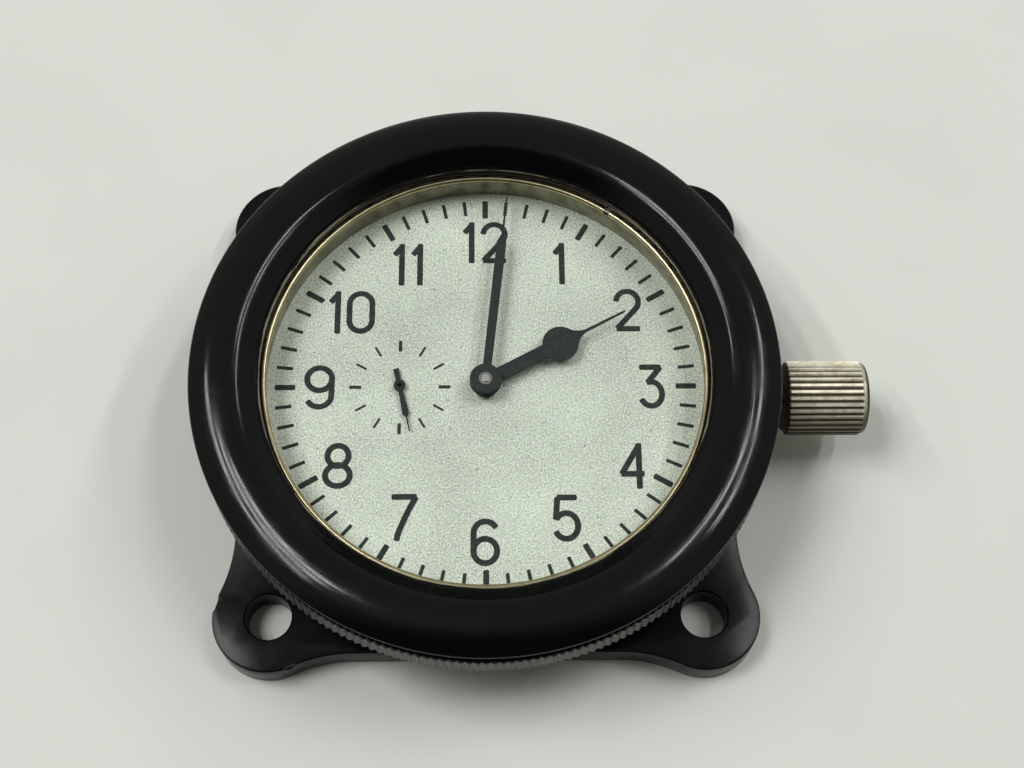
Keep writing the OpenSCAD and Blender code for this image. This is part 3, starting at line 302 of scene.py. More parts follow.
@dataclass(frozen=True)
class Silvering(Finish):
    """Rubbed silvering on a brass dial: matt, with the fine sparkle of its grain and a few dark specks."""

    dark_color: str = "#959E90"
    # Coarser than the real grain, so that it shows
    grain_mm: float = 0.24
    grain_span: Point = (0.42, 0.82)
    grain_depth_mm: float = 0.02
    cloud_mm: float = 14.0
    cloud_share: float = 0.25
    speck_color: str = "#7F897C"
    speck_mm: float = 0.55
    speck_span: Point = (0.7, 0.78)
    speck_share: float = 0.8

    def dress(self, tree: bpy.types.NodeTree, shader: bpy.types.Node) -> None:
        """Mix light and dark grains, add specks and roughen the surface.

        Args:
            tree: node tree of the material.
            shader: its Principled node.
        """
        place = add_node(tree, "ShaderNodeTexCoord").outputs["Object"]
        grain = add_node(tree, "ShaderNodeTexNoise", values={
            "Scale": per_mm(self.grain_mm), "Detail": 2.0, "Roughness": 0.7}, links={"Vector": place})
        cloud = add_node(tree, "ShaderNodeTexNoise", values={
            "Scale": per_mm(self.cloud_mm), "Detail": 3.0}, links={"Vector": place})
        shade = add_node(tree, "ShaderNodeMath", {"operation": "MULTIPLY_ADD"}, {1: self.cloud_share},
                         {0: cloud.outputs["Fac"], 2: grain.outputs["Fac"]})
        light = add_node(tree, "ShaderNodeMapRange", values={
            "From Min": self.grain_span[0], "From Max": self.grain_span[1], "To Min": 0.0, "To Max": 1.0},
            links={"Value": shade.outputs["Value"]})
        tint = add_node(tree, "ShaderNodeMix", {"data_type": "RGBA"},
                        {6: linear(self.dark_color), 7: linear(self.color)}, {0: light.outputs["Result"]})
        fleck = add_node(tree, "ShaderNodeTexNoise", values={
            "Scale": per_mm(self.speck_mm), "Detail": 1.0}, links={"Vector": place})
        speck = add_node(tree, "ShaderNodeMapRange", values={
            "From Min": self.speck_span[0], "From Max": self.speck_span[1],
            "To Min": 0.0, "To Max": self.speck_share}, links={"Value": fleck.outputs["Fac"]})
        spotted = add_node(tree, "ShaderNodeMix", {"data_type": "RGBA"}, {7: linear(self.speck_color)},
                           {0: speck.outputs["Result"], 6: tint.outputs[2]})
        bump = add_node(tree, "ShaderNodeBump", values={
            "Strength": 1.0, "Distance": self.grain_depth_mm * MM}, links={"Height": grain.outputs["Fac"]})
        tree.links.new(spotted.outputs[2], shader.inputs["Base Color"])
        tree.links.new(bump.outputs["Normal"], shader.inputs["Normal"])


@dataclass(frozen=True)
class Lacquer(Finish):
    """Matt lacquer, ink or coat: flat, with a slightly uneven film."""

    thin_color: str = "#444846"
    film_mm: float = 0.7
    gloss_level: float = 0.1
    thin_span: Point = (0.45, 0.8)

    def dress(self, tree: bpy.types.NodeTree, shader: bpy.types.Node) -> None:
        """Let the film run a little thinner in places.

        Args:
            tree: node tree of the material.
            shader: its Principled node.
        """
        place = add_node(tree, "ShaderNodeTexCoord").outputs["Object"]
        film = add_node(tree, "ShaderNodeTexNoise", values={
            "Scale": per_mm(self.film_mm), "Detail": 4.0}, links={"Vector": place})
        thin = add_node(tree, "ShaderNodeMapRange", values={
            "From Min": self.thin_span[0], "From Max": self.thin_span[1], "To Min": 0.0, "To Max": 1.0},
            links={"Value": film.outputs["Fac"]})
        tint = add_node(tree, "ShaderNodeMix", {"data_type": "RGBA"},
                        {6: linear(self.color), 7: linear(self.thin_color)}, {0: thin.outputs["Result"]})
        shader.inputs["Specular IOR Level"].default_value = self.gloss_level
        tree.links.new(tint.outputs[2], shader.inputs["Base Color"])


@dataclass(frozen=True)
class Metal(Finish):
    """Worked metal: a stain that comes and goes over a surface with fine tool marks."""

    stain_color: str = "#808080"
    stain_mm: float = 3.0
    stain_share: float = 0.5
    stain_span: Point = (0.4, 0.7)
    mark_mm: float = 0.15
    mark_depth_mm: float = 0.003

    def dress(self, tree: bpy.types.NodeTree, shader: bpy.types.Node) -> None:
        """Stain the metal in patches and scratch it lightly.

        Args:
            tree: node tree of the material.
            shader: its Principled node.
        """
        place = add_node(tree, "ShaderNodeTexCoord").outputs["Object"]
        patch = add_node(tree, "ShaderNodeTexNoise", values={
            "Scale": per_mm(self.stain_mm), "Detail": 5.0, "Roughness": 0.6}, links={"Vector": place})
        stain = add_node(tree, "ShaderNodeMapRange", values={
            "From Min": self.stain_span[0], "From Max": self.stain_span[1],
            "To Min": 0.0, "To Max": self.stain_share}, links={"Value": patch.outputs["Fac"]})
        tint = add_node(tree, "ShaderNodeMix", {"data_type": "RGBA"},
                        {6: linear(self.color), 7: linear(self.stain_color)}, {0: stain.outputs["Result"]})
        mark = add_node(tree, "ShaderNodeTexNoise", values={
            "Scale": per_mm(self.mark_mm), "Detail": 2.0}, links={"Vector": place})
        bump = add_node(tree, "ShaderNodeBump", values={
            "Strength": 1.0, "Distance": self.mark_depth_mm * MM}, links={"Height": mark.outputs["Fac"]})
        tree.links.new(tint.outputs[2], shader.inputs["Base Color"])
        tree.links.new(bump.outputs["Normal"], shader.inputs["Normal"])


@dataclass(frozen=True)
class GiltBrass(Metal):
    """Brass wheels, polished and gilt: warm yellow, browned in places."""

    color: str = "#D2AE5C"
    roughness: float = 0.3
    metallic: float = 1.0
    stain_color: str = "#A07C38"
    stain_mm: float = 2.0
    stain_share: float = 0.4


@dataclass(frozen=True)
class ArboredWheel(GiltBrass):
    """A gilt wheel on its arbor: bright steel at the middle, which may be blacked at its top."""

    axis_mm: Point = (0.0, 0.0)
    arbor_color: str = "#C4C4C0"
    arbor_r_mm: float = 1.2
    black_color: str = "#0F1211"
    blacked_z_mm: float = 30.0

    def dress(self, tree: bpy.types.NodeTree, shader: bpy.types.Node) -> None:
        """Dress the brass, then change to steel near the wheel's own axis.

        Args:
            tree: node tree of the material.
            shader: its Principled node.
        """
        super().dress(tree, shader)
        brass = shader.inputs["Base Color"].links[0].from_socket
        place = add_node(tree, "ShaderNodeTexCoord").outputs["Object"]
        moved = add_node(tree, "ShaderNodeVectorMath", {"operation": "SUBTRACT"},
                         {1: (self.axis_mm[0] * MM, self.axis_mm[1] * MM, 0.0)}, {0: place})
        flat = add_node(tree, "ShaderNodeVectorMath", {"operation": "MULTIPLY"}, {1: (1.0, 1.0, 0.0)},
                        {0: moved.outputs["Vector"]})
        radius = add_node(tree, "ShaderNodeVectorMath", {"operation": "LENGTH"}, links={
            0: flat.outputs["Vector"]})
        inside = add_node(tree, "ShaderNodeMath", {"operation": "LESS_THAN"}, {1: self.arbor_r_mm * MM},
                          {0: radius.outputs["Value"]})
        tint = add_node(tree, "ShaderNodeMix", {"data_type": "RGBA"}, {7: linear(self.arbor_color)},
                        {0: inside.outputs["Value"], 6: brass})
        parts = add_node(tree, "ShaderNodeSeparateXYZ", links={"Vector": place})
        tip = add_node(tree, "ShaderNodeMath", {"operation": "GREATER_THAN"}, {1: self.blacked_z_mm * MM},
                       {0: parts.outputs["Z"]})
        ended = add_node(tree, "ShaderNodeMix", {"data_type": "RGBA"}, {7: linear(self.black_color)},
                         {0: tip.outputs["Value"], 6: tint.outputs[2]})
        tree.links.new(ended.outputs[2], shader.inputs["Base Color"])


@dataclass(frozen=True)
class GroovedNickel(Finish):
    """Nickel plate on a grooved crown: bright ridges, dirt and painted shade in the grooves, painted shade on
    the near side below, worn spots.
    """

    axis_z_mm: float = 9.85
    root_r_mm: float = 4.74
    ridge_r_mm: float = 5.02
    # Dirt and painted shade at the groove roots
    groove_dirt_and_shade_color: str = "#3A3222"
    dirt_roughness: float = 0.6
    worn_color: str = "#A08C5E"
    wear_mm: float = 1.6
    wear_span: Point = (0.45, 0.7)
    wear_share: float = 0.7
    # Painted shade on the crown's near side, towards -Y: its colour, the band over which it comes in, and its
    # strength
    near_side_shade_color: str = "#4C4232"
    near_side_shade_y_mm: Point = (-3.0, -4.4)
    near_side_shade_share: float = 0.9

    def dress(self, tree: bpy.types.NodeTree, shader: bpy.types.Node) -> None:
        """Darken the grooves by their distance from the crown's axis, as dirt and painted shade, paint shade
        on the near side and wear the ridges.

        Args:
            tree: node tree of the material.
            shader: its Principled node.
        """
        place = add_node(tree, "ShaderNodeTexCoord").outputs["Object"]
        parts = add_node(tree, "ShaderNodeSeparateXYZ", links={"Vector": place})
        rise = add_node(tree, "ShaderNodeMath", {"operation": "SUBTRACT"}, {1: self.axis_z_mm * MM},
                        {0: parts.outputs["Z"]})
        cross = add_node(tree, "ShaderNodeCombineXYZ", links={
            "X": parts.outputs["Y"], "Y": rise.outputs["Value"]})
        radius = add_node(tree, "ShaderNodeVectorMath", {"operation": "LENGTH"}, links={
            0: cross.outputs["Vector"]})
        # Painted shade and dirt: full at the groove roots, none on the ridge tops
        groove_dirt_and_shade = add_node(tree, "ShaderNodeMapRange", values={
            "From Min": self.root_r_mm * MM, "From Max": self.ridge_r_mm * MM, "To Min": 1.0, "To Max": 0.0},
            links={"Value": radius.outputs["Value"]})
        wear = add_node(tree, "ShaderNodeTexNoise", values={
            "Scale": per_mm(self.wear_mm), "Detail": 6.0, "Roughness": 0.7}, links={"Vector": place})
        rubbed = add_node(tree, "ShaderNodeMapRange", values={
            "From Min": self.wear_span[0], "From Max": self.wear_span[1],
            "To Min": 0.0, "To Max": self.wear_share}, links={"Value": wear.outputs["Fac"]})
        plate = add_node(tree, "ShaderNodeMix", {"data_type": "RGBA"},
                         {6: linear(self.color), 7: linear(self.worn_color)}, {0: rubbed.outputs["Result"]})
        tint = add_node(tree, "ShaderNodeMix", {"data_type": "RGBA"}, {7: linear(self.groove_dirt_and_shade_color)},
                        {0: groove_dirt_and_shade.outputs["Result"], 6: plate.outputs[2]})
        gloss = add_node(tree, "ShaderNodeMapRange", values={
            "From Min": 0.0, "From Max": 1.0, "To Min": self.roughness, "To Max": self.dirt_roughness},
            links={"Value": groove_dirt_and_shade.outputs["Result"]})
        # Painted shade over the crown's near side, towards -Y
        near_side_shade = add_node(tree, "ShaderNodeMapRange", values={
            "From Min": self.near_side_shade_y_mm[0] * MM, "From Max": self.near_side_shade_y_mm[1] * MM,
            "To Min": 0.0, "To Max": self.near_side_shade_share}, links={"Value": parts.outputs["Y"]})
        near_side_shaded = add_node(tree, "ShaderNodeMix", {"data_type": "RGBA"}, {7: linear(self.near_side_shade_color)},
                          {0: near_side_shade.outputs["Result"], 6: tint.outputs[2]})
        tree.links.new(near_side_shaded.outputs[2], shader.inputs["Base Color"])
        tree.links.new(gloss.outputs["Result"], shader.inputs["Roughness"])


@dataclass(frozen=True)
class Glass(Finish):
    """Clear flat glass: the eye sees it bend and mirror a little, and light falls straight through."""

    ior: float = 1.5
    # Share of plain glass's mirror that is left, so that a lamp shows in it as a veil
    mirror: float = 0.1

    def dress(self, tree: bpy.types.NodeTree, shader: bpy.types.Node) -> None:
        """Make the shader see-through for the eye, and let the light of lamps and walls pass once.

        Args:
            tree: node tree of the material.
            shader: its Principled node.
        """
        shader.inputs["Transmission Weight"].default_value = 1.0
        shader.inputs["IOR"].default_value = self.ior
        shader.inputs["Specular Tint"].default_value = (self.mirror, self.mirror, self.mirror, 1.0)
        path = add_node(tree, "ShaderNodeLightPath")
        clear = add_node(tree, "ShaderNodeBsdfTransparent")
        seen = add_node(tree, "ShaderNodeMath", {"operation": "MAXIMUM"}, links={
            0: path.outputs["Is Camera Ray"], 1: path.outputs["Is Transmission Ray"]})
        pane = add_node(tree, "ShaderNodeMixShader", links={
            0: seen.outputs["Value"], 1: clear.outputs["BSDF"], 2: shader.outputs["BSDF"]})
        output = next(n for n in tree.nodes if n.type == "OUTPUT_MATERIAL")
        tree.links.new(pane.outputs["Shader"], output.inputs["Surface"])


@dataclass(frozen=True)
class Ruby(Finish):
    """Synthetic ruby, ground and polished: deep red and half clear."""

    ior: float = 1.76
    clear_share: float = 0.5

    def dress(self, tree: bpy.types.NodeTree, shader: bpy.types.Node) -> None:
        """Let some light through the stone."""
        shader.inputs["Transmission Weight"].default_value = self.clear_share
        shader.inputs["IOR"].default_value = self.ior


# Stoved and polished: black, with the lamps as sharp lines
BEZEL_ENAMEL = Enamel("Gloss black enamel", "#060807", 0.12)
# Pressed in a mould: near black, with a softer shine
CASE_PHENOLIC = Phenolic("Moulded black phenolic", "#0A0D0C", 0.2)
# Silvering rubbed on a grained plate: pale, matt and sandy
DIAL_SILVER = Silvering("Grained dial silvering", "#EFFAE9", 0.55, 0.1)
# Printed film: flat charcoal
DIAL_INK = Lacquer("Charcoal dial ink", "#2F3433", 0.75, 0.0, "#434946")
# Sprayed on thin steel: charcoal with a trace of shine
HAND_BLACK = Lacquer("Matt hand lacquer", "#2D3231", 0.55, 0.0, "#3A3F3E")
# Polished sheet: clear, with a veil where it mirrors a lamp
PANE = Glass("Flat clear glass", "#FFFFFF", 0.0)
# Drawn and tarnished: a pale yellow line
WIRE = Metal("Drawn pale brass wire", "#C4B894", 0.28, 1.0, "#86764F", 2.0)
# Turned: a warm grey wall, streaked with brown
REHAUT = Metal("Turned warm nickel", "#9D977E", 0.34, 0.85, "#57523F", 2.6, 0.8)
# Plated over cut grooves: pale yellow ridges between dark lines of dirt and painted shade
CROWN_NICKEL = GroovedNickel("Yellowed nickel plate", "#FFFAE4", 0.4, 0.48)
# Moulded: dull black
SEAL = Lacquer("Black seal rubber", "#1B1B1B", 0.85, 0.0, "#2C2C2C", 0.8)
# Turned: pale grey with a soft shine
ALUMINIUM = Metal("Turned aluminium", "#B9BBBA", 0.38, 1.0, "#8E908F", 4.0)
# Grained, then plated: warm silver
BRIDGE = Metal("Grained nickel plate", "#C8BE9C", 0.36, 1.0, "#9A9070", 3.0, 0.4)
# Ground and polished: a cool grey mirror
STEEL = Metal("Polished steel", "#B8B8B5", 0.2, 1.0, "#8A8A86", 1.5, 0.4)
# Coloured by heat: dark blue with violet patches
BLUED = Metal("Blued steel", "#2E3F78", 0.24, 1.0, "#4A3F7A", 1.2, 0.5)
GILT = GiltBrass("Gilt brass")
JEWEL = Ruby("Synthetic ruby", "#8E1530", 0.05)
# Rolled on: pale and even
FLOOR_COAT = Lacquer("Pale table coat", "#E1E3DC", 0.7, 0.0, "#DCDED7", 30.0)

# Wheels that carry a steel arbor, with the place of each axis
ARBORED: dict[str, Finish] = {
    "centre_wheel": ArboredWheel("Gilt centre wheel"),
    "third_wheel": ArboredWheel("Gilt third wheel", axis_mm=(-6.2, -2.655)),
    "fourth_wheel": ArboredWheel("Gilt fourth wheel", axis_mm=(-11.53, 0.0), blacked_z_mm=14.4),
}

# Finish of each material slot of the record, for the solids that stay as they are
SLOT_FINISH: dict[str, Finish] = {
    "black_phenolic": CASE_PHENOLIC, "black_gloss_paint": BEZEL_ENAMEL, "silvered_dial": DIAL_SILVER,
    "glass": PANE, "wire_brass": WIRE, "rehaut_nickel": REHAUT, "hand_black": HAND_BLACK,
    "crown_nickel": CROWN_NICKEL, "seal_rubber": SEAL, "ring_aluminium": ALUMINIUM, "bridge_nickel": BRIDGE,
    "steel": STEEL, "blued_steel": BLUED, "wheel_brass": GILT, "jewel": JEWEL,
}


class Bench:
    """Hand operations in Blender's edit mode that the pieces share."""

    @staticmethod
    def clear() -> None:
        """Leave edit mode and deselect every object."""
        if bpy.context.mode != "OBJECT":
            bpy.ops.object.mode_set(mode="OBJECT")
        bpy.ops.object.select_all(action="DESELECT")

    @staticmethod
    def take(obj: bpy.types.Object) -> None:
        """Make one object the only selected and active one.

        Args:
            obj: the object.
        """
        Bench.clear()
        obj.select_set(True)
        bpy.context.view_layer.objects.active = obj

    @staticmethod
    def edit(obj: bpy.types.Object) -> None:
        """Open one object in edit mode with nothing of it selected.

        Args:
            obj: the object.
        """
        Bench.take(obj)
        bpy.ops.object.mode_set(mode="EDIT")
        bpy.ops.mesh.select_mode(type="VERT")
        bpy.ops.mesh.select_all(action="DESELECT")

    @staticmethod
    def pick(test: Callable[[Vector], bool]) -> None:
        """Select the vertices of the open mesh whose place passes a test, and what they enclose.

        Args:
            test: takes a place in the object's own axes, in millimetres.
        """
        bpy.ops.mesh.select_all(action="DESELECT")
        data = bpy.context.edit_object.data
        mesh = bmesh.from_edit_mesh(data)
        for vert in mesh.verts:
            vert.select = test(vert.co / MM)
        mesh.select_flush(True)
        bmesh.update_edit_mesh(data)

    @staticmethod
    def trace(points: Sequence[Vector]) -> bpy.types.Object:
        """Draw a chain of edges through points, as with a pen.

        Args:
            points: places in metres, at least two.

        Returns:
            The new object, open in edit mode.
        """
        Bench.clear()
        bpy.ops.mesh.primitive_plane_add(size=MM, location=points[0])
        bpy.ops.object.mode_set(mode="EDIT")
        bpy.ops.mesh.select_all(action="SELECT")
        bpy.ops.mesh.merge(type="CENTER")
        for here, there in zip(points, points[1:]):
            bpy.ops.mesh.extrude_vertices_move(TRANSFORM_OT_translate={"value": there - here})
        return bpy.context.edit_object

    @staticmethod
    def rod(sides: int, radius: float, length: float, middle: Sequence[float],
            lying: bool = False, closed: bool = True) -> bpy.types.Object:
        """Add a cylinder, upright or lying along X.

        Args:
            sides: number of its sides.
            radius: its radius in millimetres.
            length: its length.
            middle: place of its middle.
            lying: whether it lies along X.
            closed: whether its ends are filled.

        Returns:
            The new object.
        """
        Bench.clear()
        bpy.ops.mesh.primitive_cylinder_add(
            vertices=sides, radius=radius * MM, depth=length * MM, location=Vector(middle) * MM,
            rotation=(0, math.pi / 2 if lying else 0, 0), end_fill_type="NGON" if closed else "NOTHING")
        return bpy.context.object

    @staticmethod
    def weld() -> None:
        """Merge touching vertices of the open mesh and turn its faces outwards."""
        bpy.ops.mesh.select_all(action="SELECT")
        bpy.ops.mesh.remove_doubles(threshold=WELD)
        bpy.ops.mesh.normals_make_consistent(inside=False)

    @staticmethod
    def slab(outline: Sequence[Point], low: float, high: float) -> bpy.types.Object:
        """Fill a closed outline and raise it into a slab.

        Args:
            outline: corner points in order, in millimetres.
            low: height of the lower face.
            high: height of the upper face.

        Returns:
            The new object, open in edit mode.
        """
        obj = Bench.trace([Vector((x, y, low)) * MM for x, y in outline])
        bpy.ops.mesh.select_all(action="SELECT")
        bpy.ops.mesh.edge_face_add()
        bpy.ops.mesh.extrude_region_move(TRANSFORM_OT_translate={"value": (0, 0, (high - low) * MM)})
        Bench.weld()
        return obj

    @staticmethod
    def lathe(profile: Sequence[Point], steps: int) -> bpy.types.Object:
        """Turn a closed profile once round Z.

        Args:
            profile: radius and height of each corner, in millimetres.
            steps: number of steps round.

        Returns:
            The new object, open in edit mode.
        """
        obj = Bench.trace([Vector((r, 0, z)) * MM for r, z in (*profile, profile[0])])
        Bench.weld()
        bpy.ops.mesh.spin(steps=steps, angle=FULL_TURN, center=(0, 0, 0), axis=(0, 0, 1))
        Bench.weld()
        return obj

    @staticmethod
    def cut(obj: bpy.types.Object, tool: bpy.types.Object, what: Cut) -> None:
        """Apply one boolean and discard its tool.

        Args:
            obj: body that is kept.
            tool: body that is used up.
            what: whether the tool is added or taken away.
        """
        Bench.take(obj)
        bpy.ops.object.modifier_add(type="BOOLEAN")
        step = obj.modifiers[-1]
        step.object, step.operation, step.solver = tool, what.value, "EXACT"
        bpy.ops.object.modifier_apply(modifier=step.name)
        bpy.data.objects.remove(tool)

    @staticmethod
    def copy(obj: bpy.types.Object, shift: Point = (0.0, 0.0), turn: float = 0.0,
             centre: Point = (0.0, 0.0)) -> bpy.types.Object:
        """Copy an object with its own mesh, then turn and shift the copy.

        Args:
            obj: object to copy.
            shift: how far the copy moves, in millimetres.
            turn: degrees round an upright axis.
            centre: where that axis stands.

        Returns:
            The copy.
        """
        Bench.take(obj)
        bpy.ops.object.duplicate(linked=False)
        twin = bpy.context.object
        bpy.ops.transform.rotate(value=math.radians(turn), orient_axis="Z",
                                 center_override=(centre[0] * MM, centre[1] * MM, 0))
        bpy.ops.transform.translate(value=(shift[0] * MM, shift[1] * MM, 0))
        return twin

    @staticmethod
    def join(pieces: Sequence[bpy.types.Object]) -> bpy.types.Object:
        """Join several objects into the first one.

        Args:
            pieces: the objects, at least one.

        Returns:
            The first object.
        """
        Bench.take(pieces[0])
        for piece in pieces:
            piece.select_set(True)
        if len(pieces) > 1:
            bpy.ops.object.join()
        return pieces[0]

    @staticmethod
    def settle(obj: bpy.types.Object, name: str, finish: Finish, sharp: float = 32.0) -> bpy.types.Object:
        """Bring a finished piece to the origin, smooth it and give it its finish.

        Args:
            obj: the modelled object.
            name: name of the piece.
            finish: its surface.
            sharp: edges over this angle in degrees stay sharp.

        Returns:
            The same object.
        """
        Bench.take(obj)
        bpy.ops.object.transform_apply(location=True, rotation=True, scale=True)
        bpy.ops.object.shade_smooth_by_angle(angle=math.radians(sharp))
        obj.name = obj.data.name = name
        obj.data.materials.clear()
        obj.data.materials.append(finish.material())
        return obj

    @staticmethod
    def fit(obj: bpy.types.Object, body: str, slot: str, *nodes: str) -> None:
        """Let a piece ride on a body and stand for its solids.

        Args:
            obj: the finished piece.
            body: body of the frame that carries it.
            slot: material slot of the record that it shows; not used.
            nodes: solids that it stands for, if any.
        """
        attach(obj, body)
        if nodes:
            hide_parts(*nodes)
        log.info("%s: %d faces on %s", obj.name, len(obj.data.polygons), body)


@dataclass
class Bezel:
    """Round bezel with a groove and a knurled skirt under it, screwed over the cup."""

    crest: Point = (33.8, 22.8)
    rim_r: float = 38.81
    rim_round: float = 0.45
    inner_round: float = 3.5
    flank: float = 40.0
    root_r: float = 30.15
    lip_r: float = 29.6
    lip_z: Point = (19.4, 20.55)
    lip_edge: float = 0.15
    seat_r: float = 29.75
    shoulder_z: float = 17.4
    bore_r: float = 34.05
    groove_r: float = 37.8
    groove_z: Point = (18.1, 21.0)
    skirt_z: float = 14.0
    tooth_r: float = 38.8
    tooth_depth: float = 0.3
    # Depth of the corners between two tips, as shares of the full one
    tooth_shape: tuple[float, ...] = (0.45, 1.0, 0.45)
    teeth: int = 228
    chamfer: float = 0.25
    # How far the band of teeth reaches into the core
    band_lap: float = 0.4
    steps: int = 320

    def crown_line(self) -> list[Point]:
        """Draw the line over the ring: rounded rim, wide outer curve, narrow inner curve and flank.

        Returns:
            Radius and height of its points, from the rim inwards.
        """
        crest_r, crest_z = self.crest
        out = self.rim_r - self.rim_round
        drop = crest_z - self.groove_z[1]
        # Radius of the outer curve, which meets the rounded rim without a corner
        reach, small = out - crest_r, self.rim_round
        wide = (reach ** 2 + drop ** 2 - small ** 2) / (2 * (drop - small))
        tilt = math.degrees(math.asin(reach / (wide - small)))
        foot_r = crest_r - self.inner_round * math.sin(math.radians(self.flank))
        foot_z = crest_z - self.inner_round * (1 - math.cos(math.radians(self.flank)))
        fall = (foot_r - self.root_r) * math.tan(math.radians(self.flank))
        return [
            *arc(out, self.groove_z[1], small, small, 0, 90 - tilt, 8),
            *arc(crest_r, crest_z - wide, wide, wide, 90 - tilt, 90, 36)[1:],
            *arc(crest_r, crest_z - self.inner_round, self.inner_round, self.inner_round,
                 90, 90 + self.flank, 30)[1:],
            (self.root_r, foot_z - fall),
        ]

    def profile(self) -> list[Point]:
        """Draw the section of ring, lip and skirt core.

        Returns:
            Radius and height of its points, from the rim over the ring and down to the groove.
        """
        edge = self.lip_edge
        return [
            *self.crown_line(), (self.root_r - edge / 2, self.lip_z[1]),
            (self.lip_r + edge, self.lip_z[1]), (self.lip_r, self.lip_z[1] - edge),
            (self.lip_r, self.lip_z[0]), (self.seat_r, self.lip_z[0]),
            (self.seat_r, self.shoulder_z), (self.bore_r, self.shoulder_z),
            (self.bore_r, self.skirt_z + self.chamfer), (self.bore_r + self.chamfer, self.skirt_z),
            (self.groove_r, self.skirt_z), (self.groove_r, self.groove_z[1]),
        ]

    def knurl(self) -> bpy.types.Object:
        """Model the band of teeth, chamfered at both ends.

        Returns:
            The band, open in edit mode.
        """
        per_tooth = len(self.tooth_shape) + 1
        sides = self.teeth * per_tooth
        height = self.groove_z[0] - self.skirt_z - 2 * self.chamfer
        middle = (self.groove_z[0] + self.skirt_z) / 2
        band = Bench.rod(sides, self.tooth_r, height, (0, 0, middle), closed=False)
        Bench.edit(band)
        for step, depth in enumerate(self.tooth_shape, 1):
            Bench.pick(lambda p: round(math.atan2(p.y, p.x) / FULL_TURN * sides) % per_tooth == step)
            share = 1 - depth * self.tooth_depth / self.tooth_r
            bpy.ops.transform.resize(value=(share, share, 1), center_override=(0, 0, middle * MM))
        inner = (self.groove_r - self.band_lap) / self.tooth_r
        for side in (-1, 1):
            Bench.pick(lambda p: side * p.z > height / 2 - NEAR)
            level = (middle + side * height / 2) * MM
            for share, rise in ((1 - self.chamfer / self.tooth_r, self.chamfer), (inner, 0.0)):
                bpy.ops.mesh.extrude_edges_move(TRANSFORM_OT_translate={"value": (0, 0, side * rise * MM)})
                bpy.ops.transform.resize(value=(share, share, 1), center_override=(0, 0, level))
        Bench.pick(lambda p: math.hypot(p.x, p.y) < self.groove_r - self.band_lap / 2)
        bpy.ops.mesh.bridge_edge_loops()
        Bench.weld()
        return band

    def build(self) -> None:
        """Turn the ring, add the teeth and put it in place of the solid."""
        ring = Bench.lathe(self.profile(), self.steps)
        shell = Bench.settle(Bench.join([ring, self.knurl()]), "bezel_shell", BEZEL_ENAMEL)
        Bench.fit(shell, "case", "black_gloss_paint", "bezel")


@dataclass(frozen=True)
class Chip:
    """A chip that is broken out of a moulded edge."""

    at: Point
    # Half-lengths across the edge, along it and down it
    size: tuple[float, float, float]
    # Heading across the edge in degrees
    turn: float
    seed: int
    rough: float = 0.12

    def lump(self, level: float) -> bpy.types.Object:
        """Return the rough lump that breaks the chip out.

        Args:
            level: height of the edge in millimetres.

        Returns:
            The tool body.
        """
        Bench.clear()
        bpy.ops.mesh.primitive_ico_sphere_add(
            subdivisions=3, radius=MM, location=Vector((*self.at, level)) * MM,
            rotation=(0, 0, math.radians(self.turn)), scale=self.size)
        lump = bpy.context.object
        Bench.edit(lump)
        bpy.ops.mesh.select_all(action="SELECT")
        bpy.ops.transform.vertex_random(offset=self.rough * MM, seed=self.seed)
        Bench.take(lump)
        bpy.ops.object.transform_apply(location=True, rotation=True, scale=True)
        return lump


